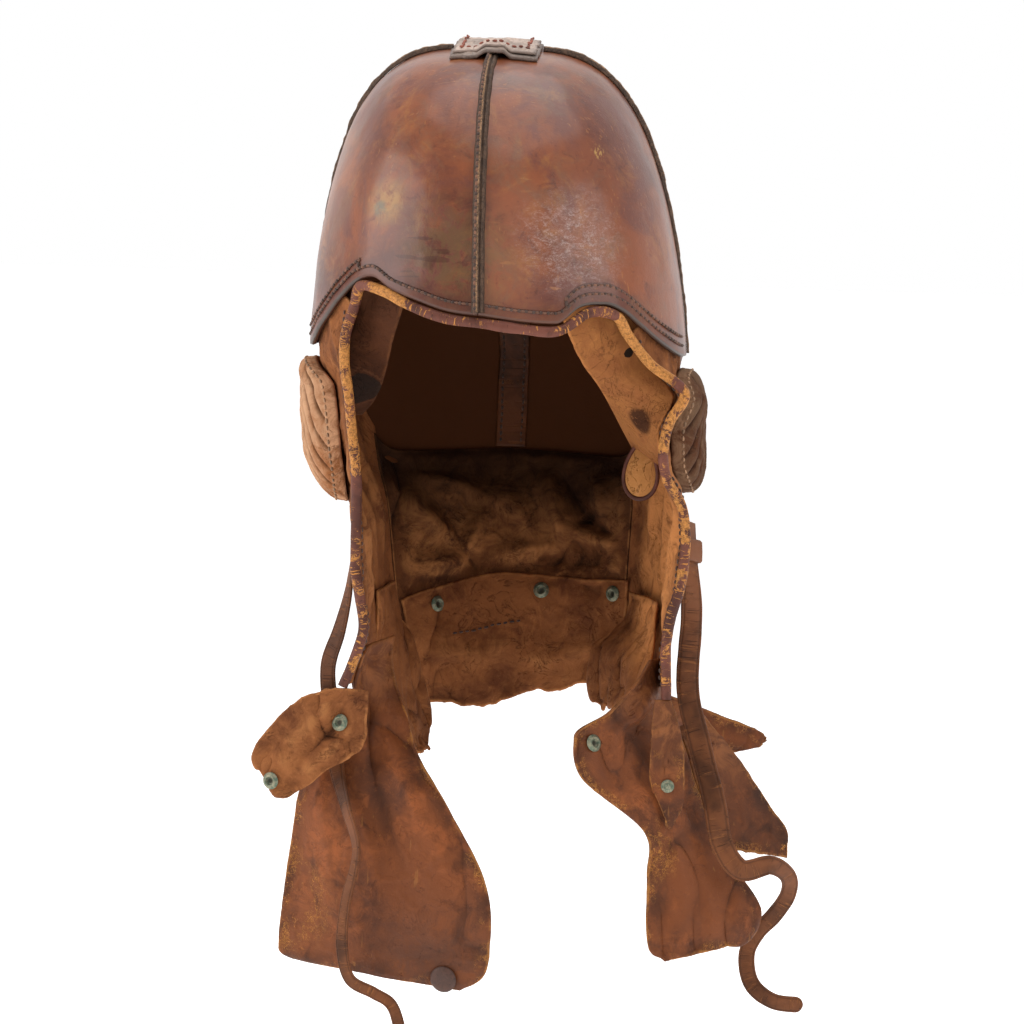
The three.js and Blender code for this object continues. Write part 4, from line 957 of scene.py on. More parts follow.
def way_through(points, steps):
    """A centripetal curve through points, sampled evenly."""
    points = np.asarray(points, float)
    ends = np.vstack([2 * points[0] - points[1], points, 2 * points[-1] - points[-2]])
    t = np.linspace(0, 1, 33)[:-1, None]
    parts = []
    for x0, x1, x2, x3 in zip(ends, ends[1:], ends[2:], ends[3:]):
        d0, d1, d2 = (np.sqrt(np.linalg.norm(b - a)) for a, b in ((x0, x1), (x1, x2), (x2, x3)))
        start = ((x1 - x0) / d0 - (x2 - x0) / (d0 + d1) + (x2 - x1) / d1) * d1
        end = ((x2 - x1) / d1 - (x3 - x1) / (d1 + d2) + (x3 - x2) / d2) * d1
        parts.append(
            x1 + start * t + (3 * (x2 - x1) - 2 * start - end) * t**2 + (2 * (x1 - x2) + start + end) * t**3
        )
    line = np.vstack([*parts, points[-1:]])
    run = arc_lengths(line)
    share = np.concatenate([np.arange(len(line) - 1) / (len(line) - 1), [1]])
    even = np.linspace(0, run[-1], steps + 1)
    return read_at(even, run, line), np.interp(even, run, share)


def tangents(line):
    return unit(np.gradient(line, axis=0))


def carried_frames(line):
    """Two directions across a line that turn as little as they can along it."""
    along = tangents(line)
    across = [
        unit(np.cross(along[0], (0, 0, 1)) if abs(along[0][2]) < 0.9 else np.cross(along[0], (0, 1, 0)))
    ]
    for t in along[1:]:
        across.append(unit(across[-1] - t * (across[-1] @ t)))
    across = np.array(across)
    return across, np.cross(along, across)


# Stitches


class Tree:
    """A node tree, shader or geometry, filled by one method."""

    def __init__(self, tree):
        self.tree = tree

    def node(self, kind, settings=None, inputs=None):
        node = self.tree.nodes.new(kind)
        for key, value in (settings or {}).items():
            if key == "stops":
                self.set_stops(node.color_ramp, value)
            else:
                setattr(node, key, value)
        for key, value in (inputs or {}).items():
            self.feed(node.inputs[key], value)
        return node

    def feed(self, socket, value):
        value = getattr(value, "socket", value)
        if isinstance(value, bpy.types.NodeSocket):
            self.tree.links.new(value, socket)
        elif socket.type == "RGBA" and len(value) == 3:
            socket.default_value = (*value, 1)
        else:
            socket.default_value = value

    @staticmethod
    def set_stops(ramp, stops):
        while len(ramp.elements) < len(stops):
            ramp.elements.new(1)
        for element, (place, colour) in zip(ramp.elements, stops):
            element.position, element.color = place, (*colour, 1)


def stitch_tree():
    """Stitches along lines of leather: every line's points say which way the leather faces there."""
    group = bpy.data.node_groups.get("stitch_row")
    if group:
        return group
    group = bpy.data.node_groups.new("stitch_row", "GeometryNodeTree")
    for name, kind, default in (
        ("Lines", "NodeSocketGeometry", None),
        ("Pitch", "NodeSocketFloat", 0.0034),
        ("Stitch Length", "NodeSocketFloat", 0.0024),
        ("Thread Width", "NodeSocketFloat", 0.0008),
        ("Unevenness", "NodeSocketFloat", 0.12),
        ("Seed", "NodeSocketInt", 1),
        ("Thread", "NodeSocketMaterial", None),
    ):
        socket = group.interface.new_socket(name, in_out="INPUT", socket_type=kind)
        if default is not None:
            socket.default_value = default
    group.interface.new_socket("Stitches", in_out="OUTPUT", socket_type="NodeSocketGeometry")
    t = Tree(group)
    given = t.node("NodeGroupInput").outputs
    curve = t.node("GeometryNodeMeshToCurve", inputs={0: given["Lines"]})
    spaced = t.node(
        "GeometryNodeResampleCurve", {"mode": "LENGTH"},
        {"Curve": curve.outputs[0], "Length": given["Pitch"]}
    )
    half = t.node(
        "ShaderNodeCombineXYZ",
        inputs={0: given["Stitch Length"], 1: given["Thread Width"], 2: given["Thread Width"]}
    )
    ball = t.node("GeometryNodeMeshUVSphere", inputs={"Segments": 8, "Rings": 6, "Radius": 0.5})
    stitch = t.node("GeometryNodeTransform", inputs={"Geometry": ball.outputs[0], "Scale": half.outputs[0]})
    along = t.node(
        "FunctionNodeAlignRotationToVector", {"axis": "X"},
        {"Vector": t.node("GeometryNodeInputTangent").outputs[0]}
    )
    out = t.node("GeometryNodeInputNamedAttribute", {"data_type": "FLOAT_VECTOR"}, {"Name": "out"})
    turned = t.node(
        "FunctionNodeAlignRotationToVector",
        {"axis": "Z", "pivot_axis": "X"},
        {"Rotation": along.outputs[0], "Vector": out.outputs[0]},
    )
    uneven = t.node("ShaderNodeMath", {"operation": "SUBTRACT"}, {0: 1.0, 1: given["Unevenness"]})
    scale = t.node(
        "FunctionNodeRandomValue",
        {"data_type": "FLOAT_VECTOR"},
        {0: uneven.outputs[0], 1: (1.0, 1.0, 1.0), "Seed": given["Seed"]},
    )
    placed = t.node(
        "GeometryNodeInstanceOnPoints",
        inputs={
            "Points": spaced.outputs[0],
            "Instance": stitch.outputs[0],
            "Rotation": turned.outputs[0],
            "Scale": scale.outputs[0],
        },
    )
    real = t.node("GeometryNodeRealizeInstances", inputs={0: placed.outputs[0]})
    soft = t.node("GeometryNodeSetShadeSmooth", inputs={0: real.outputs[0]})
    dyed = t.node("GeometryNodeSetMaterial", inputs={0: soft.outputs[0], "Material": given["Thread"]})
    t.node("NodeGroupOutput", inputs={0: dyed.outputs[0]})
    return group


def half_a_step_on(line, out, pitch):
    """The same row without half a pitch at either end, which puts its marks between the stitches."""
    run = arc_lengths(line) * MM
    even = np.linspace(pitch / 2, run[-1] - pitch / 2, len(line))
    return read_at(even, run, line), unit(read_at(even, run, out))


def stitches(name, rows, thread, seed=1, pitch=None, length=None, width=None):
    """A piece of stitches along rows of (points in millimetres, the way that the leather faces)."""
    sizes = bpy.context.scene.helmet_sizes
    points, outs, edges = [], [], []
    for line, out in rows:
        first = len(points)
        points.extend(np.asarray(line) * MM)
        outs.extend(out)
        edges.extend((first + k, first + k + 1) for k in range(len(line) - 1))
    mesh = bpy.data.meshes.new(f"{name}_lines")
    mesh.from_pydata([tuple(p) for p in points], edges, [])
    mesh.attributes.new("out", "FLOAT_VECTOR", "POINT").data.foreach_set(
        "vector", np.asarray(outs, np.float32).ravel()
    )
    lines = bpy.data.objects.new(f"{name}_lines", mesh)
    bpy.context.scene.collection.objects.link(lines)
    modifier = lines.modifiers.new("stitches", "NODES")
    modifier.node_group = stitch_tree()
    values = {
        "Pitch": pitch or sizes.stitch_pitch,
        "Stitch Length": length or sizes.stitch_length,
        "Thread Width": width or sizes.thread_width,
        "Unevenness": sizes.stitch_unevenness,
        "Seed": seed,
        "Thread": thread,
    }
    for item in modifier.node_group.interface.items_tree:
        if item.name in values:
            modifier[item.identifier] = values[item.name]
    seen = lines.evaluated_get(bpy.context.evaluated_depsgraph_get())
    made = bpy.data.meshes.new_from_object(seen)
    made.name = name
    piece = bpy.data.objects.new(name, made)
    bpy.context.scene.collection.objects.link(piece)
    bpy.data.objects.remove(lines)
    if not made.polygons:
        raise RuntimeError(f"{name} has no stitches")
    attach(piece, "root")
    return piece


# Materials

HALF_DISC = {"centre": (-63.5, -44.0, -38.0), "squeeze": (1.0, 1.0, 0.56), "radius": 10.5}
CRACKS_ROUND = 2.8


class Field:
    """A number, colour or vector that varies over a surface."""

    def __init__(self, finish, socket):
        self.finish, self.socket = finish, socket

    def math(self, operation, first, second):
        node = self.finish.node("ShaderNodeMath", {"operation": operation}, {0: first, 1: second})
        return Field(self.finish, node.outputs[0])

    def __add__(self, other):
        return self.math("ADD", self, other)

    __radd__ = __add__

    def __sub__(self, other):
        return self.math("SUBTRACT", self, other)

    def __rsub__(self, other):
        return self.math("SUBTRACT", other, self)

    def __mul__(self, other):
        return self.math("MULTIPLY", self, other)

    __rmul__ = __mul__

    def between(self, low, high):
        """0 below low, 1 above high and smooth in between; low may be the larger one."""
        if low > high:
            return 1 - self.between(high, low)
        node = self.finish.node(
            "ShaderNodeMapRange", {"interpolation_type": "SMOOTHSTEP"},
            {0: self, 1: low, 2: high, 3: 0.0, 4: 1.0}
        )
        return Field(self.finish, node.outputs[0])


class Finish(Tree):
    """The nodes of one material. Patterns are sized in millimetres."""

    def __init__(self, name):
        self.material = bpy.data.materials.new(name)
        self.material.use_nodes = True
        super().__init__(self.material.node_tree)
        self.tree.nodes.clear()
        coordinates = self.node("ShaderNodeTexCoord")
        self.place = self.scaled(Field(self, coordinates.outputs["Object"]), (1 / MM,) * 3)
        self.uv = coordinates.outputs["UV"]

    def scaled(self, vector, amounts):
        node = self.node("ShaderNodeVectorMath", {"operation": "MULTIPLY"}, {0: vector, 1: amounts})
        return Field(self, node.outputs[0])

    def shifted(self, vector, amounts):
        node = self.node("ShaderNodeVectorMath", {"operation": "ADD"}, {0: vector, 1: amounts})
        return Field(self, node.outputs[0])

    def noise(self, size, detail=4.0, rough=0.6, warp=0.0, stretch=None, where=None, seed=0):
        vector = where or self.place
        if stretch:
            vector = self.scaled(vector, stretch)
        if seed:
            vector = self.shifted(vector, (seed * 37.0, seed * 11.0, seed * 5.0))
        node = self.node(
            "ShaderNodeTexNoise",
            inputs={
                "Vector": vector, "Scale": 1 / size, "Detail": detail, "Roughness": rough,
                "Distortion": warp
            },
        )
        return Field(self, node.outputs[0])

    def cells(self, size, feature="F1", stretch=None, where=None, random=1.0):
        vector = where or self.place
        if stretch:
            vector = self.scaled(vector, stretch)
        node = self.node(
            "ShaderNodeTexVoronoi", {"feature": feature},
            {"Vector": vector, "Scale": 1 / size, "Randomness": random}
        )
        return Field(self, node.outputs["Distance"])

    def warped(self, size, amount, seed=0):
        """The place on the surface, moved about a little so that cells lose their straight sides."""
        vector = self.shifted(self.place, (seed * 13.0, seed * 7.0, seed * 3.0)) if seed else self.place
        noise = self.node("ShaderNodeTexNoise", inputs={"Vector": vector, "Scale": 1 / size, "Detail": 2.0})
        shift = self.scaled(self.shifted(noise.outputs["Color"], (-0.5,) * 3), (amount,) * 3)
        return self.shifted(self.place, shift)

    def value(self, name):
        node = self.node("ShaderNodeAttribute", {"attribute_name": name})
        return Field(self, node.outputs["Fac"])

    def near(self, centre, radius, soft=0.5):
        """1 at a place in millimetres, 0 beyond a radius."""
        node = self.node("ShaderNodeVectorMath", {"operation": "DISTANCE"}, {0: self.place, 1: centre})
        return Field(self, node.outputs["Value"]).between(radius, radius * soft)

    def spot(self, name):
        return self.near(*SPOTS[name])

    def distance(self, centre, squeeze):
        """Millimetres from a place, with each direction squeezed by its own amount."""
        moved = self.scaled(self.shifted(self.place, tuple(-c for c in centre)), squeeze)
        node = self.node("ShaderNodeVectorMath", {"operation": "LENGTH"}, {0: moved})
        return Field(self, node.outputs["Value"])

    def blend(self, first, second, share):
        node = self.node(
            "ShaderNodeMix", {"data_type": "RGBA", "clamp_factor": True}, {0: share, 6: first, 7: second}
        )
        return Field(self, node.outputs[2])

    def finished(self, colour, roughness, height, **constants):
        bump = self.node("ShaderNodeBump", inputs={"Height": height, "Distance": MM, "Strength": 1.0})
        inputs = {"Base Color": colour, "Roughness": roughness, "Normal": bump.outputs["Normal"]}
        inputs.update({key.replace("_", " "): value for key, value in constants.items()})
        shader = self.node("ShaderNodeBsdfPrincipled", inputs=inputs)
        self.node("ShaderNodeOutputMaterial", inputs={0: shader.outputs[0]})
        return self.material


# Spots on the leather: place in millimetres, radius, and the share of it at full strength
SPOTS = {
    "dark by the welt": ((-16, -101, 22), 40, 0.15),
    "painted sheen on cracked grain": ((39, -90, 30), 36, 0.1),
    "halo": ((-50, -82, 46), 15, 0.25),
    "stain": ((-53, -81, 43), 5.2, 0.4),
    "nick": ((47.8, -65.5, 72.5), 5.5, 0.3),
    "painted reflection on the right rim": ((-92, -35, 58), 52, 0.1),
    "shadowed side": ((78, -60, 78), 72, 0.1),
    "long scratch": ((-32, -98, 20), 15, 0.9),
    "torn hole": ((65.6, -61, -21.5), 4.2, 0.1),
    "painted shade in the lining creases": ((70, -50, -48), 26, 0.1),
    "pocket": ((71.5, -48, -55), 8.5, 0.6),
    "rubbed cheek": ((84, 0, -128), 66, 0.6),
    "smoky corner": ((-18, -74, -326), 58, 0.15),
    "cracked fold": ((84, -71, -259), 20, 0.4),
    "cracked edge": ((-93, -47, -296), 32, 0.3),
}
TINTS = {
    "dark by the welt": (0.1, 0.055, 0.02),
    "painted sheen on cracked grain": (0.5, 0.38, 0.34),
    "halo": (0.3, 0.16, 0.045),
    "stain": (0.1, 0.1, 0.065),
    "nick": (0.46, 0.27, 0.08),
    "grey bloom": (0.13, 0.07, 0.04),
    "painted reflection on the right rim": (0.42, 0.22, 0.14),
    "cut edge": (0.06, 0.045, 0.036),
    "inside of the shell": (0.072, 0.02, 0.004),
    "rim of the patch": (0.1, 0.06, 0.045),
    "torn hole": (0.012, 0.006, 0.003),
    "painted shade in the lining creases": (0.075, 0.022, 0.007),
    "pocket": (0.035, 0.011, 0.004),
    "half disc": (0.011, 0.006, 0.004),
    "holes round the disc": (0.11, 0.04, 0.016),
    "rubbed cheek": (0.56, 0.22, 0.068),
    "smoky corner": (0.05, 0.024, 0.017),
    "light felt": (0.6, 0.3, 0.12),
}


def shade(colour, amount):
    return tuple(min(1.0, c * amount) for c in colour)


def shell_leather(colours):
    f = Finish("polished_shell_leather")
    base = colours.shell
    dark, golden, purple = colours.shell_dark, colours.shell_golden, colours.shell_purple
    large = f.noise(58, 5, 0.62, 0.4)
    middle = f.noise(19, 7, 0.72, 0.8, seed=2)
    fine = f.noise(2.6, 6, 0.74, seed=3)
    blotch = f.noise(9, 6, 0.72, 0.9, seed=4)
    colour = f.blend(dark, base, (large * 0.7 + middle * 0.3).between(0.36, 0.56))
    colour = f.blend(colour, purple, f.noise(36, 5, 0.66, 0.6, seed=5).between(0.46, 0.62) * 0.85)
    rubbed = f.noise(33, 6, 0.72, 0.9, seed=7).between(0.5, 0.64) * blotch.between(0.36, 0.6)
    colour = f.blend(colour, golden, rubbed * 0.6)
    colour = f.blend(colour, shade(base, 1.45), fine.between(0.53, 0.72) * middle.between(0.4, 0.62) * 0.45)
    colour = f.blend(colour, shade(dark, 0.55), blotch.between(0.44, 0.3) * 0.5)
    colour = f.blend(colour, shade(dark, 0.6), fine.between(0.42, 0.3) * 0.3)
    by_welt = f.spot("dark by the welt")
    colour = f.blend(colour, TINTS["dark by the welt"], by_welt * blotch.between(0.4, 0.56) * 0.7)
    colour = f.blend(colour, shade(dark, 0.7), by_welt * middle.between(0.5, 0.38) * 0.6)
    scratch = f.noise(1.9, 2, 0.5, stretch=(1, 1, 0.05), seed=9).between(0.672, 0.695)
    cross = f.noise(2.2, 2, 0.5, stretch=(0.07, 1, 0.6), seed=12).between(0.68, 0.7)
    marks = (scratch + cross) * f.noise(26, 2, 0.5, seed=13).between(0.48, 0.62)
    colour = f.blend(colour, shade(golden, 1.3), marks * 0.45)
    # Painted sheen: a whitish highlight on the left of the shell, broken up by cracked grain
    sheen = f.spot("painted sheen on cracked grain")
    torn = f.noise(9, 6, 0.8, 1.4, stretch=(1, 1, 1.5), seed=24).between(0.44, 0.6)
    grain = f.noise(1.7, 5, 0.85, 1.2, stretch=(1, 1, 1.6), seed=14).between(0.46, 0.6) * (0.35 + torn * 0.65)
    colour = f.blend(colour, TINTS["painted sheen on cracked grain"], sheen * (grain * 0.56 + torn * 0.16))
    halo = f.spot("halo") * blotch.between(0.3, 0.6)
    stain = f.spot("stain") * fine.between(0.3, 0.6)
    colour = f.blend(f.blend(colour, TINTS["halo"], halo * 0.8), TINTS["stain"], stain * 0.75)
    nick = f.spot("nick") * f.noise(2.2, 4, 0.7, stretch=(1.6, 1, 0.5), seed=16).between(0.5, 0.6)
    colour = f.blend(colour, TINTS["nick"], nick * 0.9)
    grey = f.noise(30, 5, 0.7, 1.0, seed=18).between(0.5, 0.66) * (0.4 + fine.between(0.4, 0.6) * 0.6)
    colour = f.blend(colour, TINTS["grey bloom"], grey * 0.5)
    # Painted reflection: a pale golden grey band along the right rim of the shell
    pale = f.spot("painted reflection on the right rim") * (0.5 + middle * 0.5)
    colour = f.blend(colour, TINTS["painted reflection on the right rim"], pale * 0.4)
    shadowed = f.spot("shadowed side")
    colour = f.blend(colour, shade(dark, 1.1), shadowed * 0.42)
    long_scratch = (
        f.spot("long scratch") * f.noise(3, 1, 0.5, stretch=(0.12, 0.2, 1), seed=15).between(0.62, 0.66)
    )
    colour = f.blend(colour, shade(dark, 0.5), long_scratch * 0.5)
    hem, inner = f.value("hem"), f.value("inside")
    near_hem = hem.between(16, 2)
    groove = (
        hem.between(4.3, 5) * hem.between(5.7, 5)
        + hem.between(8.8, 9.5) * hem.between(10.2, 9.5) * f.value("temple")
    )
    colour = f.blend(colour, shade(dark, 0.85), near_hem * 0.55)
    colour = f.blend(colour, shade(dark, 0.5), groove * 0.5)
    colour = f.blend(colour, TINTS["cut edge"], hem.between(1.3, 0.4) * (0.3 + f.value("temple") * 0.6))
    # Inner face: a dark brown, which also paints the shade inside the shell
    colour = f.blend(colour, TINTS["inside of the shell"], inner.between(0.4, 0.6))
    roughness = 0.34 + middle * 0.2 - large * 0.1 + sheen * 0.02 + hem.between(6, 0) * 0.15 + inner * 0.5
    pores = f.cells(1.0, where=f.warped(2, 0.8))
    height = pores * 0.04 + middle * 0.25 + fine * 0.06 - marks * 0.06 + sheen * grain * 0.12 - groove * 0.3
    coat = 0.36 * inner.between(0.6, 0.4)
    return f.finished(
        colour, roughness, height, Coat_Weight=coat, Coat_Roughness=0.2, Specular_IOR_Level=0.24
    )


def edge_leather(colours):
    f = Finish("worn_edge_leather")
    base, crest = colours.welt, colours.worn
    grain = f.noise(5, 6, 0.7, 0.5)
    coarse = f.noise(14, 4, 0.6, seed=3)
    lift = f.value("lift")
    colour = f.blend(shade(base, 0.55), shade(base, 1.25), grain.between(0.35, 0.65))
    worn = lift.between(0.86, 0.98) * f.noise(9, 6, 0.75, 0.6, seed=5).between(0.32, 0.5)
    colour = f.blend(colour, f.blend(crest, shade(crest, 0.55), grain.between(0.4, 0.6)), worn * 0.85)
    cracks = f.cells(2.6, "DISTANCE_TO_EDGE", where=f.warped(4, 3)).between(0.1, 0.0)
    colour = f.blend(colour, shade(base, 0.35), cracks * 0.6)
    height = grain * 0.3 + coarse * 0.25 - cracks * 0.22
    return f.finished(colour, 0.62 + grain * 0.2, height, Specular_IOR_Level=0.35)


def patch_leather(colours, name, depth):
    f = Finish(name)
    # A depth below 1 gives a darker copy of the patch leather: painted shade
    base = shade(colours.patch, depth)
    grain = f.noise(4, 6, 0.72, 0.4)
    large = f.noise(18, 4, 0.6, seed=2)
    rim = f.value("rim")
    colour = f.blend(shade(base, 0.62), shade(base, 1.18), large.between(0.32, 0.62))
    colour = f.blend(colour, shade(colours.worn, 0.9), grain.between(0.55, 0.7) * 0.4)
    colour = f.blend(colour, TINTS["rim of the patch"], rim.between(1.5, 0.1) * 0.7)
    wrinkles = f.cells(3.4, "DISTANCE_TO_EDGE", where=f.warped(6, 4)).between(0.09, 0.0)
    colour = f.blend(colour, shade(base, 0.4), wrinkles * 0.35)
    height = grain * 0.25 - wrinkles * 0.18 + large * 0.2
    return f.finished(colour, 0.5 + grain * 0.2, height, Coat_Weight=0.15, Coat_Roughness=0.35)


def suede(name, base, dark, light, gloss=0.0, shaded=0.0, marks=None):
    """Napped leather: painted shade in its folds and hollows, lighter on the ridges from rubbed wear and
    painted light, and stained.
    """
    f = Finish(name)
    large = f.noise(48, 5, 0.62, 0.5)
    middle = f.noise(13, 7, 0.72, 0.9, seed=2)
    nap = f.noise(0.9, 4, 0.75, seed=4)
    fine = f.noise(3.2, 5, 0.75, 0.4, seed=5)
    fold, rim = f.value("fold"), f.value("rim")
    colour = f.blend(dark, base, (large * 0.6 + middle * 0.4).between(0.36, 0.56))
    colour = f.blend(colour, light, middle.between(0.54, 0.74) * 0.4)
    colour = f.blend(colour, shade(dark, 0.6), f.noise(26, 6, 0.7, 0.8, seed=6).between(0.55, 0.7) * 0.6)
    # Lighter on fold ridges, from rubbed wear and a painted highlight; painted shade in the fold valleys
    colour = f.blend(colour, light, fold.between(0.5, 3.0) * middle.between(0.32, 0.62) * 0.55)
    colour = f.blend(colour, shade(dark, 0.5), fold.between(-0.4, -2.8) * 0.7)
    colour = f.blend(colour, shade(light, 1.1), (nap * 0.5 + fine * 0.5).between(0.52, 0.7) * 0.3)
    colour = f.blend(colour, shade(dark, 0.7), fine.between(0.42, 0.3) * 0.3)
    veins = crack_lines(f, 17, 0.01, 3, 1.4) * f.noise(20, 3, 0.6, seed=8).between(0.38, 0.6)
    colour = f.blend(colour, shade(dark, 0.45), veins * 0.55)
    colour = f.blend(colour, shade(light, 1.15), rim.between(1.6, 0.1) * middle.between(0.35, 0.6) * 0.6)
    # Painted shade where the sheet lies in a hollow; lighter where it bulges, from rubbed wear and painted
    # light
    hollow = f.value("hollow")
    colour = f.blend(colour, shade(light, 0.9), hollow.between(-0.35, -1.5) * middle.between(0.34, 0.6) * 0.5)
    colour = f.blend(colour, shade(dark, 0.34), hollow.between(0.2, 1.5) * 0.8)
    if shaded:
        colour = f.blend(colour, shade(dark, 0.3), f.value("hem").between(shaded, 6) * 0.86)
    if marks:
        colour = marks(f, colour)
    height = nap * 0.16 + middle * 0.6 + fine * 0.12 - veins * 0.3 + large * 0.6
    return f.finished(colour, 0.86 - gloss + nap * 0.1, height, Specular_IOR_Level=0.16)


def lining_marks(f, colour):
    """Marks of the left temple lining: the torn hole, painted dark for the shade inside it, and painted shade
    in its creases and in the pocket of its fold.
    """
    torn = f.noise(2.6, 4, 0.7, 0.5, seed=21)
    # Painted shade inside the torn hole
    hole = f.spot("torn hole") + torn * 0.5
    colour = f.blend(colour, TINTS["torn hole"], hole.between(0.62, 0.7))
    # Painted shade in the creases of the lining
    spread = f.spot("painted shade in the lining creases") * crack_lines(f, 11, 0.014, 23, 1.0)
    colour = f.blend(colour, TINTS["painted shade in the lining creases"], spread * 0.9)
    # Painted shade in the pocket
    pocket = f.spot("pocket")
    return f.blend(colour, TINTS["pocket"], pocket * torn.between(0.3, 0.45) * 0.92)


def half_disc(f, colour):
    """The half disc on the right temple lining: dark lining with painted shade of the ear hole, and holes
    round its edge.
    """
    away = f.distance(HALF_DISC["centre"], HALF_DISC["squeeze"])
    radius = HALF_DISC["radius"]
    # Dark lining and painted shade of the ear hole
    colour = f.blend(colour, TINTS["half disc"], away.between(radius, radius - 0.8) * 0.85)
    ring = away.between(radius + 0.2, radius + 0.7) * away.between(radius + 2.2, radius + 1.6)
    holes = f.cells(1.9).between(0.5, 0.3)
    return f.blend(colour, TINTS["holes round the disc"], ring * (1 - holes) * 0.5)


def painted_cheek_light(f, colour):
    """Painted light that makes the inner face of the left cheek lighter."""
    rubbed = f.spot("rubbed cheek") * f.value("inside")
    return f.blend(
        colour, TINTS["rubbed cheek"], rubbed * f.noise(11, 6, 0.75, 0.8, seed=31).between(0.3, 0.56) * 0.9
    )


def crack_lines(f, size, width, seed, warp=0.8):
    """Thin lines that wander and break off."""
    noise = f.noise(size, 5, 0.62, warp, seed=seed)
    return noise.between(0.5 - width, 0.5) * noise.between(0.5 + width, 0.5)


def flap_leather(colours, name="cracked_flap_leather", depth=1.0):
    f = Finish(name)
    base, dark = shade(colours.flap, depth), shade(colours.flap_dark, depth)
    golden = colours.crack
    large = f.noise(62, 5, 0.6, 0.6)
    middle = f.noise(12, 7, 0.72, 0.8, seed=2)
    fine = f.noise(2.2, 5, 0.74, seed=4)
    grain = f.cells(1.1, where=f.warped(2.4, 1.0))
    fold, rim = f.value("fold"), f.value("rim")
    colour = f.blend(dark, base, (large * 0.75 + middle * 0.25).between(0.34, 0.54))
    colour = f.blend(colour, shade(base, 1.6), middle.between(0.5, 0.68) * 0.5)
    # Lighter on fold ridges, from rubbed wear and a painted highlight; painted shade in the fold valleys
    colour = f.blend(colour, shade(base, 2.1), fold.between(0.3, 2.6) * middle.between(0.35, 0.6) * 0.4)
    colour = f.blend(colour, shade(dark, 0.5), fold.between(-0.3, -2.4) * 0.55)
    colour = f.blend(colour, shade(dark, 0.5), f.noise(22, 5, 0.66, 0.8, seed=6).between(0.55, 0.7) * 0.6)
    colour = f.blend(
        colour, shade(dark, 0.55), rim.between(12, 1) * f.noise(16, 4, 0.6, seed=7).between(0.42, 0.6) * 0.7
    )
    colour = f.blend(colour, shade(base, 1.8), fine.between(0.56, 0.72) * 0.3)
    smoky = f.spot("smoky corner") * middle.between(0.34, 0.6)
    colour = f.blend(colour, TINTS["smoky corner"], smoky * 0.62)
    worn = f.noise(15, 5, 0.7, 0.5, seed=9)
    at_rim = rim.between(8, 0.5) * worn.between(0.5, 0.62)
    at_fold = f.spot("cracked fold") + f.spot("cracked edge")
    cracked = crack_lines(f, 5, 0.022, 5) + crack_lines(f, 2.6, 0.03, 8)
    shown = (at_rim + at_fold * worn.between(0.42, 0.56)) * cracked
    colour = f.blend(colour, golden, shown * 0.9)
    colour = f.blend(
        colour, golden, (at_fold + at_rim) * f.noise(3.4, 5, 0.8, 0.6, seed=10).between(0.6, 0.66) * 0.8
    )
    colour = f.blend(colour, shade(golden, 0.8), rim.between(1.0, 0.1) * worn.between(0.42, 0.56) * 0.7)
    veins = crack_lines(f, 15, 0.008, 13, 1.2) * middle.between(0.4, 0.6)
    colour = f.blend(colour, shade(dark, 0.5), veins * 0.5)
    scratch = f.noise(2.4, 2, 0.5, stretch=(1, 1, 0.09), seed=11).between(0.66, 0.69)
    colour = f.blend(
        colour, shade(golden, 0.6), scratch * f.noise(24, 2, 0.5, seed=12).between(0.5, 0.62) * 0.35
    )
    # Painted shade where the sheet lies in a hollow; lighter where it bulges, from rubbed wear and painted
    # light
    hollow = f.value("hollow")
    colour = f.blend(colour, shade(base, 2.0), hollow.between(-0.3, -1.4) * middle.between(0.36, 0.6) * 0.4)
    colour = f.blend(colour, shade(dark, 0.4), hollow.between(0.2, 1.5) * 0.7)
    top = f.value("hem").between(46, 14)
    colour = f.blend(colour, f.blend(colours.suede_dark, colours.suede, middle.between(0.4, 0.6)), top * 0.85)
    roughness = 0.5 + middle * 0.18 + shown * 0.25
    height = grain * 0.06 + middle * 0.45 + fine * 0.08 - veins * 0.12 - shown * 0.14 + large * 0.5
    return f.finished(
        colour, roughness, height, Coat_Weight=0.04, Coat_Roughness=0.4, Specular_IOR_Level=0.18
    )


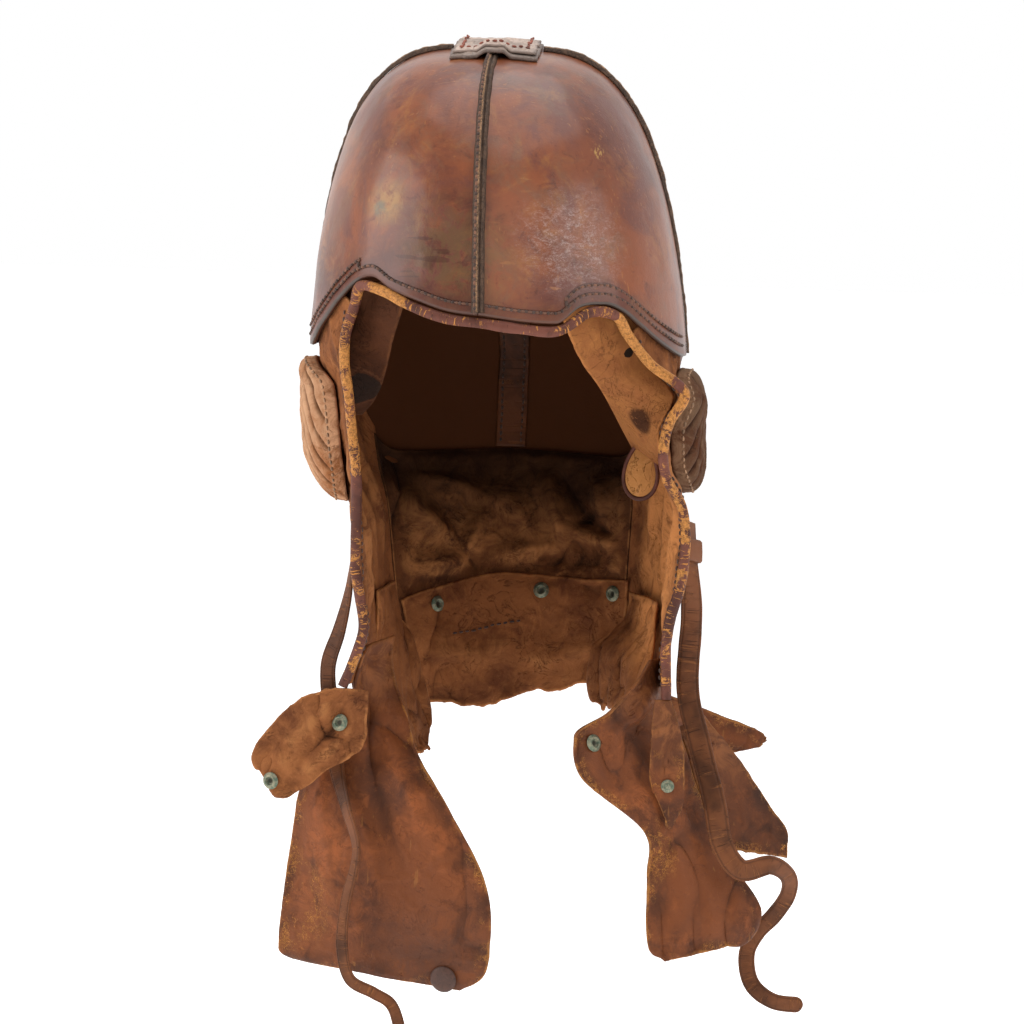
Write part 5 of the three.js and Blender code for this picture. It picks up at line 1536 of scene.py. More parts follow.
def rolled_leather(name, base, golden, size, amount, bare):
    """Leather bent or rolled tight, cracked across its length; the cracks follow the piece's own length."""
    f = Finish(name)
    along = f.scaled(Field(f, f.uv), (CRACKS_ROUND, 1 / MM, 1.0))
    rubbed = f.value("worn")
    grain = f.noise(1.6, 4, 0.7)
    large = f.noise(24, 4, 0.6, 0.4, seed=2)
    worn = f.noise(13, 5, 0.72, 0.5, seed=4)
    across = f.noise(size, 3, 0.65, 0.5, where=along)
    lines = across.between(0.57, 0.61) * (worn + rubbed * 0.3).between(0.42, 0.58)
    ragged = f.noise(7, 6, 0.78, 0.8, seed=6) + f.noise(1.1, 3, 0.7, seed=8) * 0.12 + rubbed * 0.24
    fine = f.noise(size * 0.5, 2, 0.6, 0.4, where=along, seed=3).between(0.36, 0.3)
    colour = f.blend(shade(base, 0.6), shade(base, 1.5), large.between(0.32, 0.64))
    colour = f.blend(colour, golden, lines * amount)
    torn = ragged.between(0.7, 0.73) * bare
    rough = f.noise(1.3, 5, 0.8, 0.5, seed=9)
    colour = f.blend(
        colour, f.blend(shade(golden, 0.42), shade(golden, 1.15), rough.between(0.34, 0.6)), torn
    )
    colour = f.blend(colour, shade(base, 0.35), fine * (1 - torn) * 0.6)
    colour = f.blend(colour, shade(base, 0.4), f.value("pressed") * 0.6)
    height = (
        grain * 0.12 - lines * 0.3 - fine * 0.3 + large * 0.2 - torn * 0.35
        + torn * f.noise(0.8, 3, 0.8, seed=10) * 0.6
    )
    return f.finished(
        colour, 0.5 + grain * 0.22 + lines * 0.2, height, Coat_Weight=0.06, Coat_Roughness=0.35,
        Specular_IOR_Level=0.2
    )


def old_brass(name, base, green, metallic):
    f = Finish(name)
    spots = f.noise(2.4, 5, 0.7, 0.4)
    colour = f.blend(base, green, spots.between(0.38, 0.62) * 0.85)
    colour = f.blend(colour, shade(base, 0.3), f.noise(1.1, 3, 0.6, seed=3).between(0.55, 0.7) * 0.6)
    # Painted shade in the hole of a socket
    colour = f.blend(colour, shade(base, 0.12), f.value("hole"))
    height = f.noise(0.7, 3, 0.6, seed=5) * 0.05
    return f.finished(colour, 0.42 + spots * 0.3, height, Metallic=metallic, Specular_IOR_Level=0.5)


def thread(name, base):
    f = Finish(name)
    fuzz = f.noise(0.35, 2, 0.6, stretch=(1, 1, 1))
    tone = f.noise(11, 3, 0.6, seed=2)
    colour = f.blend(shade(base, 0.55), shade(base, 1.35), tone.between(0.35, 0.65))
    return f.finished(colour, 0.8 + fuzz * 0.1, fuzz * 0.12, Sheen_Weight=0.1)


def floor_paper():
    f = Finish("white_floor")
    tone = f.noise(900, 2, 0.4)
    colour = f.blend((0.93, 0.93, 0.93), (0.95, 0.95, 0.95), tone)
    return f.finished(
        colour, 0.9, tone * 0.01, Specular_IOR_Level=0.1, Emission_Color=(1, 1, 1, 1), Emission_Strength=0.6
    )


made = {}


def dyes():
    """The colours of the settings as plain tuples."""
    settings = bpy.context.scene.helmet_colours
    return SimpleNamespace(**{key: tuple(getattr(settings, key)) for key in HelmetColours.__annotations__})


def finish(key):
    """Each material is made once, when the first piece that wears it asks for it."""
    if key not in made:
        colours = dyes()
        soft, smoked = colours.suede, colours.suede_dark
        makers = {
            "shell": lambda: shell_leather(colours),
            "welt": lambda: edge_leather(colours),
            "patch": lambda: patch_leather(colours, "pinkish_patch_leather", 1.0),
            # The lower layer of the patch: the patch leather darkened, painted shade
            "under_patch": lambda: patch_leather(colours, "browned_patch_leather", 0.5),
            # The cheeks' suede, with painted light on the inner face of the left cheek
            "suede": lambda: suede("brown_suede", soft, smoked, colours.suede_light, marks=painted_cheek_light),
            "lining": lambda: suede(
                "tan_lining_suede", colours.lining, soft, shade(colours.lining, 1.5), marks=lining_marks
            ),
            "dark_lining": lambda: suede(
                "shaded_lining_suede", shade(smoked, 0.62), shade(smoked, 0.4), shade(soft, 0.5),
                marks=half_disc
            ),
            # Painted shade: a darker copy of the pad suede for the left pad
            "shaded_pad": lambda: suede(
                "browned_pad_suede", shade(colours.pad, 0.26), shade(smoked, 0.7), shade(colours.pad, 0.55)
            ),
            "smooth": lambda: suede("smooth_dark_lining", shade(smoked, 0.7), shade(smoked, 0.4), soft, 0.3),
            "flap": lambda: flap_leather(colours),
            "fin": lambda: flap_leather(colours, "shaded_flap_leather", 0.68),
            "felt": lambda: suede("tan_felt", colours.felt, shade(colours.felt, 0.7), TINTS["light felt"]),
            # Painted shade: the nape inside the helmet is a darker copy of the suede, darkest just under the
            # shell
            "nape": lambda: suede(
                "nape_suede", shade(soft, 0.58), shade(smoked, 0.56), colours.suede_light, shaded=66
            ),
            "binding": lambda: rolled_leather(
                "rolled_binding", colours.binding, colours.crack, 1.5, 0.85, 0.9
            ),
            "strap": lambda: rolled_leather(
                "strap_leather", colours.strap, colours.strap_worn, 1.6, 0.6, 1.0
            ),
            "tape": lambda: rolled_leather("seam_tape", colours.tape, colours.strap_worn, 3.0, 0.3, 0.1),
            "pad": lambda: suede("pinkish_pad_suede", colours.pad, soft, shade(colours.pad, 1.45)),
            "brass": lambda: old_brass("tarnished_brass", colours.brass, colours.verdigris, 0.72),
            "cap": lambda: old_brass("dark_snap_cap", colours.cap, shade(colours.cap, 1.6), 0.2),
            "dark_thread": lambda: thread("dark_waxed_thread", colours.thread_dark),
            "red_thread": lambda: thread("red_brown_thread", colours.thread_red),
            "brown_thread": lambda: thread("brown_waxed_thread", colours.thread_brown),
            "tan_thread": lambda: thread("tan_thread", colours.thread_tan),
            "paper": floor_paper,
        }
        made[key] = makers[key]()
    return made[key]


def dress(piece, node):
    """The piece stands for its solid and moves with it."""
    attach(piece, "root")
    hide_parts(node)
    return piece


# Leather sheets of the helmet

RIGHT, LEFT = -1, 1
SIDES = {"right": RIGHT, "left": LEFT}


def side_of(name):
    return SIDES[name.split("_")[-1]]


def wrinkled(
    seed, folds=(), mirrored=False, rough=0.45, crease=0.5, size=15, fold=0.0, fold_size=34, hem=0.0
):
    """Relief of soft leather in millimetres: its folds, an uneven face and small creases."""
    depth = bpy.context.scene.helmet_sizes.wrinkle_depth

    def relief(face, u, v):
        inner = inside_edges(u, 0.04) * smooth(v, 0, 0.06) * smooth(1 - v, 0, 0.05)
        rise = fold_height(folds, 1 - u if mirrored else u, v) * calm_at_edges(u, v)
        rise = rise + cloud(face, size, 4, seed) * rough * depth * (0.25 + 0.75 * inner)
        free = inner * (1 - smooth(v, 1 - hem, 1 - hem * 0.7)) if hem else inner
        slanted = face * (1, 1, 0.5) + ripple(face, fold_size * 1.5, seed + 9)[..., None] * fold_size * 0.5
        rise = rise + (ridges(slanted, fold_size, seed + 3) - 0.35) * fold * depth * free
        return rise - creases(face, size * 0.9, 0.12, seed + 5) * crease * depth * inner

    return relief


def cape_part(table):
    return hanging_surface(table, -NAPE_DROP, CAPE_LENGTH)


def flap_part(table):
    return hanging_surface(table, -CHEEK_DROP, FLAP_LENGTH)


left_flap = sewn_inside(flap_part(LEFT_FLAP), LEFT, FLAP_SEAT, FLAP_FREE, FLAP_WALL, "a")
SURFACES = {
    "cheek_panel_right": cheek_surface(RIGHT),
    "cheek_panel_left": cheek_surface(LEFT),
    "temple_lining_right": lining_surface(RIGHT, RIGHT_LINING),
    "temple_lining_left": lining_surface(LEFT, LEFT_LINING),
    "ear_lining_right": ear_lining_surface(RIGHT),
    "ear_lining_left": ear_lining_surface(LEFT),
    "back_seam_tape": tape_surface,
    "nape_curtain": nape_surface,
    "cape_back": cape_surface,
    "cape_side_right": sewn_inside(cape_part(RIGHT_CAPE_SIDE), RIGHT, CAPE_SEAT, CAPE_FREE),
    "cape_side_left": sewn_inside(
        cape_part(LEFT_CAPE_SIDE), LEFT, CAPE_SEAT, CAPE_FREE, FLAP_WALL + CLEARANCE * 2
    ),
    "cape_side_tab": cape_part(SIDE_TAB),
    "throat_flap_right": sewn_inside(flap_part(RIGHT_FLAP), RIGHT, FLAP_SEAT, FLAP_FREE, loose="b"),
    "throat_flap_left": left_flap,
    "throat_flap_left_fold": fin_surface(left_flap),
    "chin_tab_right": flap_part(RIGHT_CHIN_TAB),
    "chin_tab_left": flap_part(LEFT_CHIN_TAB),
}

# Wrinkles of each kind of sheet, with their folds and heights
CHEEK_LOOK = {"folds": CHEEK_FOLDS, "crease": 0.6, "fold": 1.7, "fold_size": 30}
LINING_LOOK = {"rough": 0.22, "crease": 0.3, "fold": 0.6, "fold_size": 26}
PRESSED_LOOK = {"rough": 0.12, "crease": 0.1}
NAPE_LOOK = {"folds": NAPE_FOLDS, "rough": 0.6, "crease": 0.9, "fold": 6.0, "fold_size": 46, "hem": 0.28}
CAPE_LOOK = {"folds": CAPE_FOLDS, "rough": 0.6, "fold": 2.0, "fold_size": 30}
SIDE_LOOK = {"rough": 0.5, "fold": 2.4, "fold_size": 22}
RIGHT_FLAP_LOOK = {"folds": RIGHT_FLAP_FOLDS, "rough": 0.5, "fold": 2.4, "fold_size": 60}
LEFT_FLAP_LOOK = {"folds": LEFT_FLAP_FOLDS, "rough": 0.5, "fold": 2.4, "fold_size": 50}
TAB_LOOK = {"folds": TAB_FOLDS, "rough": 0.6, "fold": 2.4, "fold_size": 22}

# Grid across and down, wall, seed of the wrinkles, wrinkles, seed and depths of the uneven cut, rounded share
SHEETS = {
    "cheek_panel_right": (96, 130, SOFT_WALL, 20, CHEEK_LOOK, 30, (0, 0, 0, 0.012), 0),
    "cheek_panel_left": (96, 130, SOFT_WALL, 22, {**CHEEK_LOOK, "mirrored": True}, 32, (0, 0, 0, 0.012), 0),
    "temple_lining_right": (40, 80, LINING_WALL, 40, LINING_LOOK, 1, (0, 0, 0, 0), 0),
    "temple_lining_left": (40, 80, LINING_WALL, 42, LINING_LOOK, 1, (0, 0, 0, 0), 0),
    "ear_lining_right": (36, 60, EAR_LINING_WALL, 50, PRESSED_LOOK, 1, (0, 0, 0, 0), 0),
    "ear_lining_left": (36, 60, EAR_LINING_WALL, 52, PRESSED_LOOK, 1, (0, 0, 0, 0), 0),
    "back_seam_tape": (24, 150, TAPE_WALL, 95, PRESSED_LOOK, 96, (0.06, 0.06, 0, 0), 0),
    "nape_curtain": (200, 96, SOFT_WALL, 61, NAPE_LOOK, 62, (0, 0, 0, 0.02), 0),
    "cape_back": (130, 60, FLAP_WALL, 64, CAPE_LOOK, 65, (0.01, 0.01, 0, 0.07), 0),
    "cape_side_right": (60, 80, FLAP_WALL, 67, SIDE_LOOK, 68, (0.04, 0.04, 0, 0.03), 0.45),
    "cape_side_left": (60, 60, FLAP_WALL, 70, SIDE_LOOK, 71, (0.03, 0.02, 0, 0.05), 0.25),
    "cape_side_tab": (40, 60, FLAP_WALL, 73, {"rough": 0.3}, 74, (0.03, 0.03, 0, 0.02), 0.3),
    "throat_flap_right": (110, 150, FLAP_WALL, 76, RIGHT_FLAP_LOOK, 77, (0.008, 0.008, 0, 0.008), 0),
    "throat_flap_left": (110, 150, FLAP_WALL, 79, LEFT_FLAP_LOOK, 80, (0.008, 0.008, 0, 0.01), 0),
    "throat_flap_left_fold": (50, 60, FLAP_WALL, 82, {"rough": 0.35}, 83, (0, 0.03, 0, 0.02), 0),
    "chin_tab_right": (60, 80, FLAP_WALL, 85, TAB_LOOK, 86, (0.02, 0.02, 0, 0.02), 0.3),
    "chin_tab_left": (40, 80, FLAP_WALL, 88, {"rough": 0.35}, 89, (0.03, 0.03, 0, 0.02), 0.3),
}


@lru_cache(maxsize=None)
def sheet(name):
    """The sheet of one piece of leather, made when it is first asked for."""
    across, down, wall, seed, look, cut_seed, trim, end = SHEETS[name]
    return Sheet(SURFACES[name], across, down, wall, wrinkled(seed, **look), trim, cut_seed, end=end)


# Soft sheets as they are made: piece, flat size, how it is held and what it hangs on
soft = []


def held_sheet(name, key, held, rests_on):
    """A soft sheet as a finished piece, listed with the size that it has when laid flat."""
    leather = sheet(name)
    piece = dress(leather.piece(name, finish(key), (SHEET_BULGE,) * 4), name)
    wide = np.linalg.norm(np.diff(leather.outer, axis=1), axis=2).sum(axis=1).mean()
    long = np.linalg.norm(np.diff(leather.outer, axis=0), axis=2).sum(axis=0).mean()
    flat = (round(float(wide) * MM, 3), round(float(long) * MM, 3))
    soft.append((piece, flat, held, rests_on))


TEARDROP = {
    "centre": (72.6, -16.5, -80.0), "half_width": 8.4, "half_height": 14.0, "swell": 1.8, "piping": 1.1
}


def felt_teardrop():
    """A felt pad shaped like a drop at the lower end of the left temple lining, and its dark piping."""
    centre = np.array(TEARDROP["centre"])
    out = unit(np.array([-0.3, -0.95, 0.1]))
    across = unit(np.cross((0, 0, 1), out))
    up = np.cross(out, across)
    t = round_angles(96)
    x = TEARDROP["half_width"] * np.sin(t) * np.abs(np.sin(t / 2)) ** 0.7 * 1.2
    z = TEARDROP["half_height"] * np.cos(t)

    def ring(share, lift):
        return (
            centre + across * (x * share)[:, None] + up * (z * share - 1.5 * (1 - share))[:, None]
            + out * lift
        )

    shares = np.sin(np.linspace(0.05, 1, 12) * math.pi / 2)
    rings = [ring(s, TEARDROP["swell"] * math.sqrt(max(0.0, 1.02 - s * s))) for s in shares]
    rings.extend([ring(1.0, -0.5), ring(0.5, -0.5), ring(0.05, -0.5)])
    flat = np.zeros(len(rings) * len(t) + 2)
    felt = loft_object("felt_teardrop", rings, finish("felt"), {"rim": flat + 5, "fold": flat})
    rim = ring(1.06, 0.3)
    along = unit(np.roll(rim, -1, axis=0) - np.roll(rim, 1, axis=0))
    sideways = np.cross(along, out)
    angle = round_angles(10)
    tube = [
        p + TEARDROP["piping"] * (np.cos(angle)[:, None] * s + np.sin(angle)[:, None] * out)
        for p, s in zip(rim, sideways)
    ]
    piping = ring_object("teardrop_piping", tube, finish("binding"))
    return felt, piping


# Shell, welts, patch and tape

QUARTERS = {
    "shell_front_right": (-90, FRONT_SEAM_TURN),
    "shell_front_left": (FRONT_SEAM_TURN, 90),
    "shell_back_right": (-180, -90),
    "shell_back_left": (90, 180),
}
WELTS = {
    "seam_welt_front": (FRONT_SEAM_TURN, FRONT_WELT_WIDTH, PATCH_WIDTH / 2 + PATCH_SHIFT - WELT_LAP),
    "seam_welt_back": (180, FRONT_WELT_WIDTH, PATCH_WIDTH / 2 + CLEARANCE * 2 - PATCH_SHIFT),
    "seam_welt_right": (-90, SIDE_WELT_WIDTH, PATCH_WIDTH / 2 + CLEARANCE * 2),
    "seam_welt_left": (90, SIDE_WELT_WIDTH, PATCH_WIDTH / 2 + CLEARANCE * 2),
}
SIDE_WELTS = ("seam_welt_right", "seam_welt_left")
CRACKED_RIDGE = (
    (-0.6, -0.02), (-0.54, 0.3), (-0.46, 0.72), (-0.34, 0.95), (-0.16, 1.0), (0.0, 0.92), (0.1, 0.62),
    (0.15, 0.4),
    (0.2, 0.62), (0.3, 0.8), (0.42, 0.7), (0.52, 0.34), (0.6, -0.02),
)
ROUND_RIDGE = (
    (-0.62, -0.02), (-0.56, 0.3), (-0.46, 0.66), (-0.3, 0.92), (-0.1, 1.0), (0.12, 0.99), (0.3, 0.9),
    (0.46, 0.62),
    (0.56, 0.28), (0.62, -0.02),
)


def shell_quarter(name):
    start, end = QUARTERS[name]
    face = shell_surface(start, end)
    dents = bpy.context.scene.helmet_sizes.shell_dents / MM

    def lift(u, v):
        points = face(u, v, 0 * u)
        calm = inside_edges(u, 0.12)
        wave = cloud(points, 42, 3, 7) * dents + cloud(points, 9, 3, 17) * dents * 0.16
        return wave * (0.15 + 0.85 * calm) * smooth(1 - v, 0.02, 0.2)

    across, down = 110, 110
    u, v = (a.ravel() for a in np.meshgrid(np.linspace(0, 1, across + 1), np.linspace(0, 1, down + 1)))
    inner = face(u, v, lift(u, v) * 0.6 - SHELL_WALL).reshape(down + 1, across + 1, 3)
    return Sheet(lambda a, b: face(a, b, lift(a, b)), across, down, SHELL_WALL, inner=inner)


def welt_frame(turn, height):
    turn = np.full_like(height, turn)
    foot = on_dome(turn, height, 0 * height + CLEARANCE * 0.4)
    up = dome_out(turn, height)
    along = unit(dome_point(turn, height - 0.5) - dome_point(turn, height + 0.5))
    return foot, up, np.cross(up, along)


def welt_heights(name, steps):
    turn, _, reach = WELTS[name]
    low = angle_at(edge_height(turn) + 1)
    high = angle_at(crown_height(turn, reach))
    return height_at(mix(low, high, np.linspace(0, 1, steps)))


def seam_welt(name):
    turn, width, _ = WELTS[name]
    height = welt_heights(name, 260)
    foot, up, side = welt_frame(turn, height)
    profile = np.array(CRACKED_RIDGE if name == "seam_welt_front" else ROUND_RIDGE)
    rough = 0.12 if name == "seam_welt_front" else 0.16
    tall = mix(0.5, 1.0, smooth(foot[:, 2], 10, 100))[:, None] if name in SIDE_WELTS else 1.0
    swell = (1 + rough * cloud(foot, 11, 3, 5)[:, None]) * tall
    wide = width * (1 + rough * 0.6 * cloud(foot, 7, 3, 9))[:, None]
    across = side[:, None] * (profile[:, 0] * wide)[..., None]
    upward = up[:, None] * (profile[:, 1] * WELT_HEIGHT * swell)[..., None]
    rings = foot[:, None] + across + upward
    fuzz = (
        cloud(rings, 2.6, 3, 13)[..., None] * up[:, None] * rough * 1.2
        * smooth(profile[:, 1], 0.1, 0.6)[None, :, None]
    )
    lift = np.append(np.tile(profile[:, 1], len(height)), [0.5, 0.5])
    return loft_object(name, rings + fuzz, finish("welt"), {"lift": lift})


@lru_cache(maxsize=None)
def patch_layer(name):
    upper = name.endswith("upper")
    half = PATCH_WIDTH / 2 - (PATCH_UPPER_TRIM if upper else 0)
    floor = PATCH_LOWER_WALL + CLEARANCE * 1.6 if upper else 0
    wall = PATCH_UPPER_WALL if upper else PATCH_LOWER_WALL
    near = FRONT_WELT_WIDTH * 0.75

    def face(lift):
        def surface(u, v):
            x, y = mix(-half, half, u), mix(-half - PATCH_FALL * (0.75 if upper else 1), half, v)
            ahead = smooth(-y, 0, PATCH_WIDTH / 4)
            ridge = (WELT_HEIGHT + CLEARANCE) * ahead * (1 - smooth(np.abs(x), near, near * 2.4))
            return on_crown(x, y - PATCH_SHIFT, CLEARANCE + floor + ridge + lift)

        return surface

    u, v = np.meshgrid(np.linspace(0, 1, 81), np.linspace(0, 1, 81))
    seed = 91 + upper
    u, v = Sheet.trimmed(u, v, (0.03, 0.03, 0.035, 0.03), seed)
    under = face(0)(u.ravel(), v.ravel()).reshape(81, 81, 3)

    def relief(points, a, b):
        edge = inside_edges(a, 0.06) * inside_edges(b, 0.06)
        return (
            np.maximum(0, cloud(points, 8, 3, seed) * 0.7 + creases(points, 9, 0.2, seed) * -0.6 + 0.4)
            * edge
        )

    return Sheet(face(wall), 80, 80, wall, relief, (0.03, 0.03, 0.035, 0.03), seed, under)


# Binding, pads, straps and studs

# Rubbed stretches of the binding: from, to, and how bare, as shares of its way from right to left
WORN_STRETCHES = (
    (0.02, 0.14, 0.35), (0.2, 0.3, 0.8), (0.3, 0.36, 0.5), (0.385, 0.42, 1.1), (0.56, 0.62, 0.3),
    (0.625, 0.7, 1.0), (0.72, 0.77, 0.8), (0.8, 0.9, 0.6), (0.93, 0.98, 0.4),
)


def face_binding():
    line, _ = way_through(binding_way(), 620)
    across, out = carried_frames(line)
    angle = round_angles(22)
    swell = BINDING_RADIUS * (1 + 0.07 * cloud(line, 9, 3, 23))[:, None]
    rings = line[:, None] + swell[..., None] * (
        np.cos(angle)[None, :, None] * across[:, None] + np.sin(angle)[None, :, None] * out[:, None]
    )
    share = np.linspace(0, 1, len(line))
    worn = sum(amount * smooth(share, start - 0.01, start) * (1 - smooth(share, end, end + 0.01))
               for start, end, amount in WORN_STRETCHES)
    values = {"worn": np.append(np.repeat(worn, len(angle)), [0, 0])}
    return loft_object("face_binding", rings, finish("binding"), values)


def pad_swell(reach):
    """Height of a pad's crown, as a share, on the way from its centre at 0 to its rim at 1."""
    return max(0.0, 1 - reach**3.2) ** 0.42


def pad_ring(side, angle, reach):
    """Points of the body under a ring of a pad, the way out of it, and their y and z."""
    tall = PAD_BOTTOM[side] - PAD_TOP
    y = PAD_CENTRE_REACH * SHELL_FRONT + squared(np.cos(angle), PAD_SQUARENESS) * PAD_HALF_WIDTH * reach
    z = -(PAD_TOP + PAD_BOTTOM[side]) / 2 + squared(np.sin(angle), PAD_SQUARENESS) * tall / 2 * reach
    place = place_at(side, y, z)
    return on_body(place, z), body_out(place, z), y, z


def ear_pad(name):
    side = side_of(name)
    sizes = bpy.context.scene.helmet_sizes
    spokes, count = 128, 44
    sinks = []

    def ring(reach, lift_of):
        base, out, y, z = pad_ring(side, round_angles(spokes), reach)
        return base + out * lift_of(base, y, z)[:, None]

    def quilted(reach):
        swell = pad_swell(reach)

        def lift(base, y, z):
            tilt = y * math.cos(QUILT_LEAN) + z * math.sin(QUILT_LEAN)
            groove = np.abs(np.sin(tilt / sizes.quilt_pitch * math.pi * MM))
            sunk = sizes.quilt_depth / MM * (1 - groove) ** 2.2 * smooth(swell, 0.1, 0.75)
            sinks.append(sunk)
            level = PAD_RIM + (PAD_THICKNESS - PAD_RIM) * swell
            return PAD_GAP + level - sunk + cloud(base, 8, 4, 33 + side) * 0.5 * swell

        return lift

    def level_with(height):
        return lambda base, y, z: np.full(len(y), height)

    reaches = np.sin(np.linspace(0.02, 1, count) * math.pi / 2)
    rings = [ring(reach, quilted(reach)) for reach in reaches]
    rings.append(ring(1.012, level_with(PAD_GAP + PAD_RIM * 0.5)))
    rings.extend(ring(reach, level_with(PAD_GAP)) for reach in PAD_BACK_REACHES)
    plain = len(rings) - count
    rims = np.concatenate([(1 - reaches) * PAD_HALF_WIDTH, np.zeros(plain)])
    # Depth of the quilt grooves, read by the pad suede as fold and hollow to paint shade in them
    folds = np.concatenate([-np.concatenate(sinks), np.zeros(plain * spokes + 2)])
    values = {
        "rim": np.append(np.repeat(rims, spokes), [PAD_HALF_WIDTH, 0]), "fold": folds,
        "hollow": -folds * 0.7 - 0.1
    }
    # The left pad wears the darker copy of the pad suede: painted shade
    return loft_object(name, rings, finish("pad" if side == RIGHT else "shaded_pad"), values)


def strap_frame(table, share):
    """Centre line, flat side and face of a strap at shares of its way."""
    read = by_row(table)
    points = (
        np.column_stack([table["x"], table["y"], table["z"]]) * (SHELL_HALF_WIDTH, SHELL_FRONT, STRAP_FALL)
    )
    line, at = way_through(points, 900)
    centre = read_at(share, at, line)
    along = unit(read_at(share, at, tangents(line)))
    turn = np.radians(read["facing"](share))
    front = stack(np.sin(turn), -np.cos(turn), 0 * turn)
    side = unit(np.cross(along, front))
    return centre, along, side, unit(np.cross(side, along))


def strap(name, table, width):
    share = np.linspace(0, 1, 420)
    centre, _, side, out = strap_frame(table, share)
    run = arc_lengths(centre)
    half = width / 2 * mix(1, STRAP_TAPER, smooth(share, 0.4, 0.6)) * (1 + 0.03 * cloud(centre, 14, 3, 43))
    left = run[-1] - run
    tip = np.sqrt(np.clip(1 - (1 - np.clip(left / half, 0, 1)) ** 2, 0.02, 1))
    angle = round_angles(64)
    flat = squared(np.cos(angle), 0.6)
    pressed = np.exp(-(((np.abs(flat) - PRESSED_LINE) / 0.07) ** 2))
    thick = squared(np.sin(angle), 0.5) * (1 - 0.3 * pressed)
    face = STRAP_WALL / 2 * (1 + 0.1 * cloud(centre, 6, 3, 47))
    rings = (
        centre[:, None]
        + side[:, None] * (flat * (half * tip)[:, None])[..., None]
        + out[:, None] * (thick * face[:, None])[..., None]
    )
    values = {"pressed": np.append(np.tile(pressed, len(share)), [0, 0])}
    return loft_object(name, rings, finish("strap"), values)


def strap_keeper():
    centre, along, side, out = (a[0] for a in strap_frame(LEFT_STRAP, np.array([KEEPER_SHARE])))
    slot = np.array([LEFT_STRAP_WIDTH / 2 + CLEARANCE * 2, STRAP_WALL / 2 + CLEARANCE * 2])
    angle = round_angles(64)
    loop = squared(np.column_stack([np.cos(angle), np.sin(angle)]), 0.3)
    section = ((0, -0.5), (0.5, -0.56), (1, -0.46), (1.08, 0), (1, 0.46), (0.5, 0.56), (0, 0.5), (-0.05, 0))
    rings = []
    for place in loop:
        rings.append([
            centre + along * lift * KEEPER_HEIGHT
            + side * place[0] * (slot[0] + grow * KEEPER_WALL)
            + out * place[1] * (slot[1] + grow * KEEPER_WALL)
            for grow, lift in section
        ])
    return ring_object("strap_keeper_left", rings, finish("strap"))


STUD_GAP = 0.6
STUD_RADIUS = 4
CAP_RADIUS = 6.5
STUD_HEIGHT = 2.2
AHEAD, BEHIND = np.array([0, -1, 0]), np.array([0, 1, 0])
STUDS = {
    "cape_stud_1": ("cape_back", 0.15, 0.13, AHEAD, STUD_RADIUS, "socket"),
    "cape_stud_2": ("cape_back", 0.63, 0.13, AHEAD, STUD_RADIUS, "socket"),
    "cape_stud_3": ("cape_back", 0.93, 0.13, AHEAD, STUD_RADIUS, "socket"),
    "flap_cap_right": ("throat_flap_right", 0.84, 0.93, AHEAD, CAP_RADIUS, "cap"),
    "flap_stud_right": ("throat_flap_right", 0.95, 0.57, BEHIND, STUD_RADIUS, "post"),
    "flap_stud_left_upper": ("throat_flap_left", 0.16, 0.35, AHEAD, STUD_RADIUS, "socket"),
    "flap_stud_left_lower": ("throat_flap_left", 0.07, 0.8, BEHIND, STUD_RADIUS, "post"),
    "tab_socket_right_upper": ("chin_tab_right", 0.62, 0.22, AHEAD, STUD_RADIUS, "socket"),
    "tab_socket_right_lower": ("chin_tab_right", 0.55, 0.8, AHEAD, STUD_RADIUS, "socket"),
    "tab_stud_left": ("chin_tab_left", 0.5, 0.6, AHEAD, STUD_RADIUS * 0.8, "post"),
}
STUD_PROFILES = {
    "socket": (
        (0.0, 0.0), (0.94, 0.0), (1.04, 0.12), (1.04, 0.26), (0.98, 0.36), (0.84, 0.5), (0.74, 0.74),
        (0.64, 0.84),
        (0.54, 0.8), (0.48, 0.62), (0.45, 0.26), (0.2, 0.2), (0.0, 0.2),
    ),
    "post": (
        (0.0, 0.0), (0.9, 0.0), (1.0, 0.14), (0.98, 0.36), (0.8, 0.48), (0.52, 0.52), (0.46, 0.7),
        (0.5, 0.86),
        (0.4, 0.98), (0.2, 1.0), (0.0, 1.0),
    ),
    "cap": (
        (0.0, 0.0), (0.92, 0.0), (1.0, 0.1), (1.0, 0.3), (0.94, 0.5), (0.8, 0.72), (0.6, 0.88),
        (0.35, 0.97), (0.0, 1.0),
    ),
}


def stud(name):
    on, u, v, towards, radius, kind = STUDS[name]
    leather = sheet(on)
    point, out = leather.at(u, v)
    if out[0] @ towards < 0:
        point, out = leather.at(u, v, inside=True)
    out = out[0]
    across = unit(np.cross(out, (0.2, 0.1, 1)))
    up = np.cross(out, across)
    angle = round_angles(48)
    profile = np.array(STUD_PROFILES[kind])[1:-1]
    wheel = np.cos(angle)[:, None] * across + np.sin(angle)[:, None] * up
    foot = point[0] + out * STUD_GAP
    rings = [foot + wheel * r * radius + out * h * STUD_HEIGHT for r, h in profile]
    # Where the socket's hole lies, for its painted shade
    hole = smooth(profile[:, 1], 0.5, 0.28) * (profile[:, 0] < 0.45) * (kind == "socket")
    values = {"hole": np.append(np.repeat(hole, len(angle)), [0, hole[-1]])}
    return loft_object(name, rings, finish("cap" if kind == "cap" else "brass"), values)


# Stitch rows


def along_sheet(name, places, lift=0.25, inside=False, steps=260):
    """A line on one face of a sheet, through places given as shares across and down it."""
    places = np.asarray(places, float)
    run = arc_lengths(places)
    even = np.linspace(0, run[-1], steps)
    points, out = sheet(name).at(
        np.interp(even, run, places[:, 0]), np.interp(even, run, places[:, 1]), inside
    )
    return points + out * lift, out


